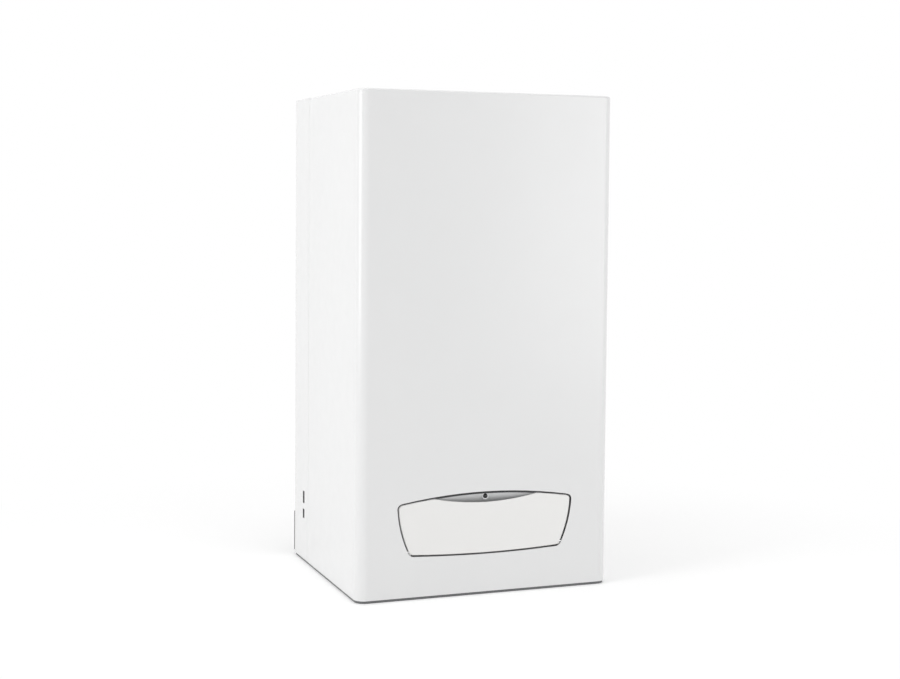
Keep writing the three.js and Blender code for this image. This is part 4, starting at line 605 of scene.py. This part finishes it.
# The fascia's face lies at this y, and the middles of the knobs and of the gauge at this z.
fascia_y, controls_z = -154.0, 104.0

# The knobs turn this far either way from straight up, and their scales reach as far.
CONTROL_SWEEP = 135.0

# Radius, and depth from the fascia's face, from the shaft's end out to the knob's front.
knob_profile = [
    (3.0, 16.5), (3.0, -0.4), (16.4, -0.4), (17.0, -0.9), (17.0, -2.9), (16.4, -3.6),
    (14.6, -4.1), (13.6, -4.6), (13.3, -5.6), (13.0, -11.2), (12.6, -12.3), (11.6, -12.95),
    (9.6, -13.0), (8.6, -12.5), (0.5, -12.1),
]

# The flutes' count, and their depth in the rows of the profile that have them.
flutes = 20
fluted_rows = {8: 0.55, 9: 0.6, 10: 0.35}


def fluting(row, angle):
    return fluted_rows.get(row, 0.0) * (0.5 - 0.5 * math.cos(flutes * angle)) ** 0.6


def ring_of_ticks(name, centre, inner, outer, count, look, width=0.7, depth=(-0.15, 0.1)):
    """Raised marks in a ring about a centre, from one end of a control's turn to the other."""
    marks = []
    widths = (-width / 2.0, width / 2.0)
    for i in range(count):
        angle = math.radians(-CONTROL_SWEEP + 2.0 * CONTROL_SWEEP * i / (count - 1))
        out = Vector((math.sin(angle), 0, math.cos(angle)))
        across = Vector((math.cos(angle), 0, -math.sin(angle)))
        marks.append(block((inner, outer), depth, widths, centre, (out, Y, across)))
    finer(name, *gathered(marks), look)


for knob_name, knob_x, knob_body in (
    ("heating_knob", -95.0, "heating_control"), ("hot_water_knob", -48.0, "hot_water_control"),
):
    knob_centre = (knob_x, fascia_y, controls_z)
    grip = turned(knob_profile, knob_centre, sides=160, wave=fluting)
    finer(knob_name + "_grip", *grip, "dark_plastic", knob_body, stands_for=(knob_name,))
    pointer = block((-0.9, 0.9), (-13.9, -12.2), (3.2, 12.4), knob_centre)
    finer(knob_name + "_pointer", *pointer, "print_white", knob_body, edge=0.35, segments=3)
    ring_of_ticks(knob_name + "_scale", knob_centre, 18.6, 21.0, 11, "print_grey")


# The gauge's face, its coloured ranges and its marks.
gauge_x, dial_y = 88.0, -146.0
dial_centre = (gauge_x, dial_y, controls_z)
marks_centre = (gauge_x, dial_y - 0.4, controls_z)

# Radii of the coloured ranges, how far they stand before the dial, and their thickness.
range_radii, range_lift, range_thick = (12.2, 14.0), 0.45, 0.2
range_steps = 24


def arc_band(start, end):
    """A coloured range of the gauge between two directions in degrees from straight up."""
    low_y = dial_y - range_lift
    rings = []
    for i in range(range_steps + 1):
        angle = math.radians(start + (end - start) * i / range_steps)
        rings.append([
            (gauge_x + reach * math.sin(angle), y, controls_z + reach * math.cos(angle))
            for reach, y in around(*range_radii, low_y, low_y + range_thick)
        ])
    return swept(rings)


face_profile = [(1.7, -0.35), (16.3, -0.35), (16.3, -0.05), (1.7, -0.05)]
finer("gauge_face", *turned(face_profile, dial_centre, closed=True), "print_white")
finer("gauge_range_green", *arc_band(-67.5, 0.0), "print_green")
finer("gauge_range_red", *arc_band(67.5, CONTROL_SWEEP), "red_paint")
ring_of_ticks("gauge_marks", marks_centre, 11.6, 15.2, 5, "black_plastic", 0.6, (-0.12, 0.1))
ring_of_ticks("gauge_fine_marks", marks_centre, 13.4, 15.0, 17, "black_plastic", 0.3, (-0.1, 0.1))


# The display behind its window: half sizes of its glass and of the dark frame round it, and the
# y of their fronts and backs.
display_x, display_z = 12.0, 109.0
glass_half, frame_half = (24.0, 11.5), (27.5, 14.5)
glass_front, frame_front, display_back = -149.0, -149.2, -148.7


def display_ring(half, y):
    return [
        (display_x + sx * half[0], y, display_z + sz * half[1])
        for sx, sz in ((-1, -1), (1, -1), (1, 1), (-1, 1))
    ]


glass_rings = [display_ring(glass_half, glass_front), display_ring(glass_half, display_back)]
finer("display_panel", *swept(glass_rings), "display_glass")
frame_rings = [
    display_ring(frame_half, frame_front), display_ring(glass_half, frame_front),
    display_ring(glass_half, display_back), display_ring(frame_half, display_back),
]
finer("display_frame", *swept(frame_rings, closed=True), "black_plastic", edge=0.1)


# ------------------------------------------------------------------ painted shade along the top of the flap's opening

# The opening's top is crown_z at the middle and falls as x squared, by 10.9 at 129 either side.
crown_z, crown_fall = 153.4, 10.9 / 129.0 ** 2

# The strip's half length, its y range at the back of the casing's sheet, and its reach above
# the edge.
shade_strip_half, shade_strip_y, shade_strip_above = 129.0, (-171.45, -170.75), 1.5

# How far it shows below the edge: at most, at least, and where the flap's edge comes near.
shade_strip_most, shade_strip_least = 3.3, 1.9
flap_gap, flap_gap_fall, flap_clearance = 15.4, 0.001964, 0.6
shade_strip_steps = 80


def painted_shade_strip():
    """A thin black strip along the opening's arch, as painted shade in the gap there, narrower
    where the flap's edge comes near.
    """
    rings = []
    for i in range(shade_strip_steps + 1):
        x = -shade_strip_half + 2.0 * shade_strip_half * i / shade_strip_steps
        crown = crown_z - crown_fall * x * x
        room = flap_gap - flap_gap_fall * x * x - flap_clearance
        drop = max(shade_strip_least, min(shade_strip_most, room))
        rings.append([(x, y, z) for y, z in around(*shade_strip_y, crown - drop, crown + shade_strip_above)])
    return swept(rings)


# The black strip is painted shade: it stands for the shadow gap under the top edge of the opening.
finer("opening_painted_shade_strip", *painted_shade_strip(), "black_plastic", "casing")


# ------------------------------------------------------------------ the twin-wall flue outlet

# Round walls in place of the faceted ones: radius and height of each corner.
flue_centre = (0.0, 20.0, 0.0)
flue_sides = 96
collar_profile = [
    (48.5, 732.2), (48.5, 747.6), (48.9, 748.0), (49.6, 748.0), (50.0, 747.6), (50.0, 742.2),
    (50.5, 741.5), (61.4, 741.5), (62.0, 740.9), (62.0, 738.6), (50.0, 738.6), (50.0, 732.2),
]
tube_profile = [
    (28.5, 724.2), (28.5, 747.6), (28.9, 748.0), (29.6, 748.0), (30.0, 747.6), (30.0, 724.2),
]

# The four ribs between the walls: from and to these radii, these widths and these heights.
rib_reach, rib_width, rib_height = (29.2, 47.9), (-1.5, 1.5), (736.0, 744.0)

collar = turned(collar_profile, flue_centre, "z", flue_sides, True)
finer("flue_collar_ring", *collar, "cast_aluminium", stands_for=("flue_collar",))
tube_parts = [turned(tube_profile, flue_centre, "z", flue_sides, True)]
for quarter in range(4):
    rib_angle = math.radians(45.0 + 90.0 * quarter)
    rib_out = Vector((math.cos(rib_angle), math.sin(rib_angle), 0.0))
    rib_axes = (rib_out, Z.cross(rib_out), Z)
    tube_parts.append(block(rib_reach, rib_width, rib_height, flue_centre, rib_axes))
finer("flue_tube_ring", *gathered(tube_parts), "cast_aluminium", stands_for=("flue_tube",))


# ------------------------------------------------------------------ floor, world and lights

# The floor's half size and its height, just under the object, in metres.
FLOOR_HALF, FLOOR_Z = 30.0, -0.0004

# It keeps the shadow up to the first distance from the middle, and is plain white from the
# second on.
SHADOW_REACH, WHITE_REACH = 0.35, 0.95
FLOOR_COLOUR, FLOOR_GLOW = (0.9, 0.9, 0.9, 1.0), 0.25

AMBIENT = 0.66

# Name, place, point it faces, size and watts.
LIGHTS = (
    ("key", (-3.0, -0.8, 1.05), (0.0, 0.0, 0.55), (1.3, 1.9), 37.0),
    ("fill", (1.9, -2.2, 0.7), (0.0, 0.0, 0.3), (1.8, 1.4), 20.0),
    ("top", (0.0, 0.2, 3.0), (0.0, 0.0, 0.4), (2.2, 2.2), 20.0),
)


def calculated(made, links, operation, first, second):
    """The result of a sum on two sockets, or on a socket and a number."""
    node = made.new("ShaderNodeMath")
    node.operation = operation
    links.new(first, node.inputs[0])
    if isinstance(second, float):
        node.inputs[1].default_value = second
    else:
        links.new(second, node.inputs[1])
    return node.outputs[0]


def seen_directly(made, links):
    """1 for camera, glossy and transmission rays, 0 for the rays that only carry light."""
    rays = made.new("ShaderNodeLightPath").outputs
    seen = calculated(made, links, "MAXIMUM", rays["Is Camera Ray"], rays["Is Glossy Ray"])
    return calculated(made, links, "MAXIMUM", seen, rays["Is Transmission Ray"])


def mixed(made, links, share, first, second, output):
    """The output's surface, run from one shader to another by a share."""
    mix = made.new("ShaderNodeMixShader")
    links.new(share, mix.inputs["Fac"])
    links.new(first.outputs[0], mix.inputs[1])
    links.new(second.outputs[0], mix.inputs[2])
    links.new(mix.outputs[0], output.inputs["Surface"])


def make_floor():
    """A pale floor that keeps the shadow near the object and is plain white further out."""
    mesh = bpy.data.meshes.new("floor")
    outline = around(-FLOOR_HALF, FLOOR_HALF, -FLOOR_HALF, FLOOR_HALF)
    mesh.from_pydata([(x, y, FLOOR_Z) for y, x in outline], [], [(0, 1, 2, 3)])
    floor = bpy.data.objects.new("floor", mesh)
    scene.collection.objects.link(floor)
    material = bpy.data.materials.new("pale_floor")
    material.use_nodes = True
    made, links = material.node_tree.nodes, material.node_tree.links
    made.clear()
    output = made.new("ShaderNodeOutputMaterial")
    seen = seen_directly(made, links)
    lit = made.new("ShaderNodeBsdfDiffuse")
    lit.inputs["Color"].default_value = FLOOR_COLOUR
    glow = made.new("ShaderNodeEmission")
    links.new(calculated(made, links, "MULTIPLY", seen, FLOOR_GLOW), glow.inputs["Strength"])
    near = made.new("ShaderNodeAddShader")
    links.new(lit.outputs[0], near.inputs[0])
    links.new(glow.outputs[0], near.inputs[1])
    white = made.new("ShaderNodeEmission")
    white.inputs["Strength"].default_value = 1.0
    distance = made.new("ShaderNodeVectorMath")
    distance.operation = "LENGTH"
    links.new(made.new("ShaderNodeTexCoord").outputs["Object"], distance.inputs[0])
    fade = made.new("ShaderNodeMapRange")
    fade.interpolation_type = "SMOOTHSTEP"
    fade.inputs["From Min"].default_value = SHADOW_REACH
    fade.inputs["From Max"].default_value = WHITE_REACH
    links.new(distance.outputs["Value"], fade.inputs["Value"])
    share = calculated(made, links, "MULTIPLY", fade.outputs["Result"], seen)
    mixed(made, links, share, near, white, output)
    mesh.materials.append(material)


def make_world():
    """A soft even light, which is plain white where it is seen directly."""
    world = bpy.data.worlds.new("studio")
    scene.world = world
    world.use_nodes = True
    made, links = world.node_tree.nodes, world.node_tree.links
    made.clear()
    output = made.new("ShaderNodeOutputWorld")
    soft = made.new("ShaderNodeBackground")
    soft.inputs["Strength"].default_value = AMBIENT
    white = made.new("ShaderNodeBackground")
    white.inputs["Strength"].default_value = 1.0
    white.inputs["Color"].default_value = (1.0, 1.0, 1.0, 1.0)
    mixed(made, links, seen_directly(made, links), soft, white, output)


def softbox(name, place, aim, size, power):
    data = bpy.data.lights.new(name, "AREA")
    data.shape = "RECTANGLE"
    data.size, data.size_y = size
    data.energy = power
    lamp = bpy.data.objects.new(name, data)
    scene.collection.objects.link(lamp)
    lamp.location = place
    lamp.rotation_mode = "QUATERNION"
    lamp.rotation_quaternion = (Vector(aim) - Vector(place)).to_track_quat("-Z", "Y")


make_floor()
make_world()
for light in LIGHTS:
    softbox(*light)

scene.view_settings.view_transform = "Standard"
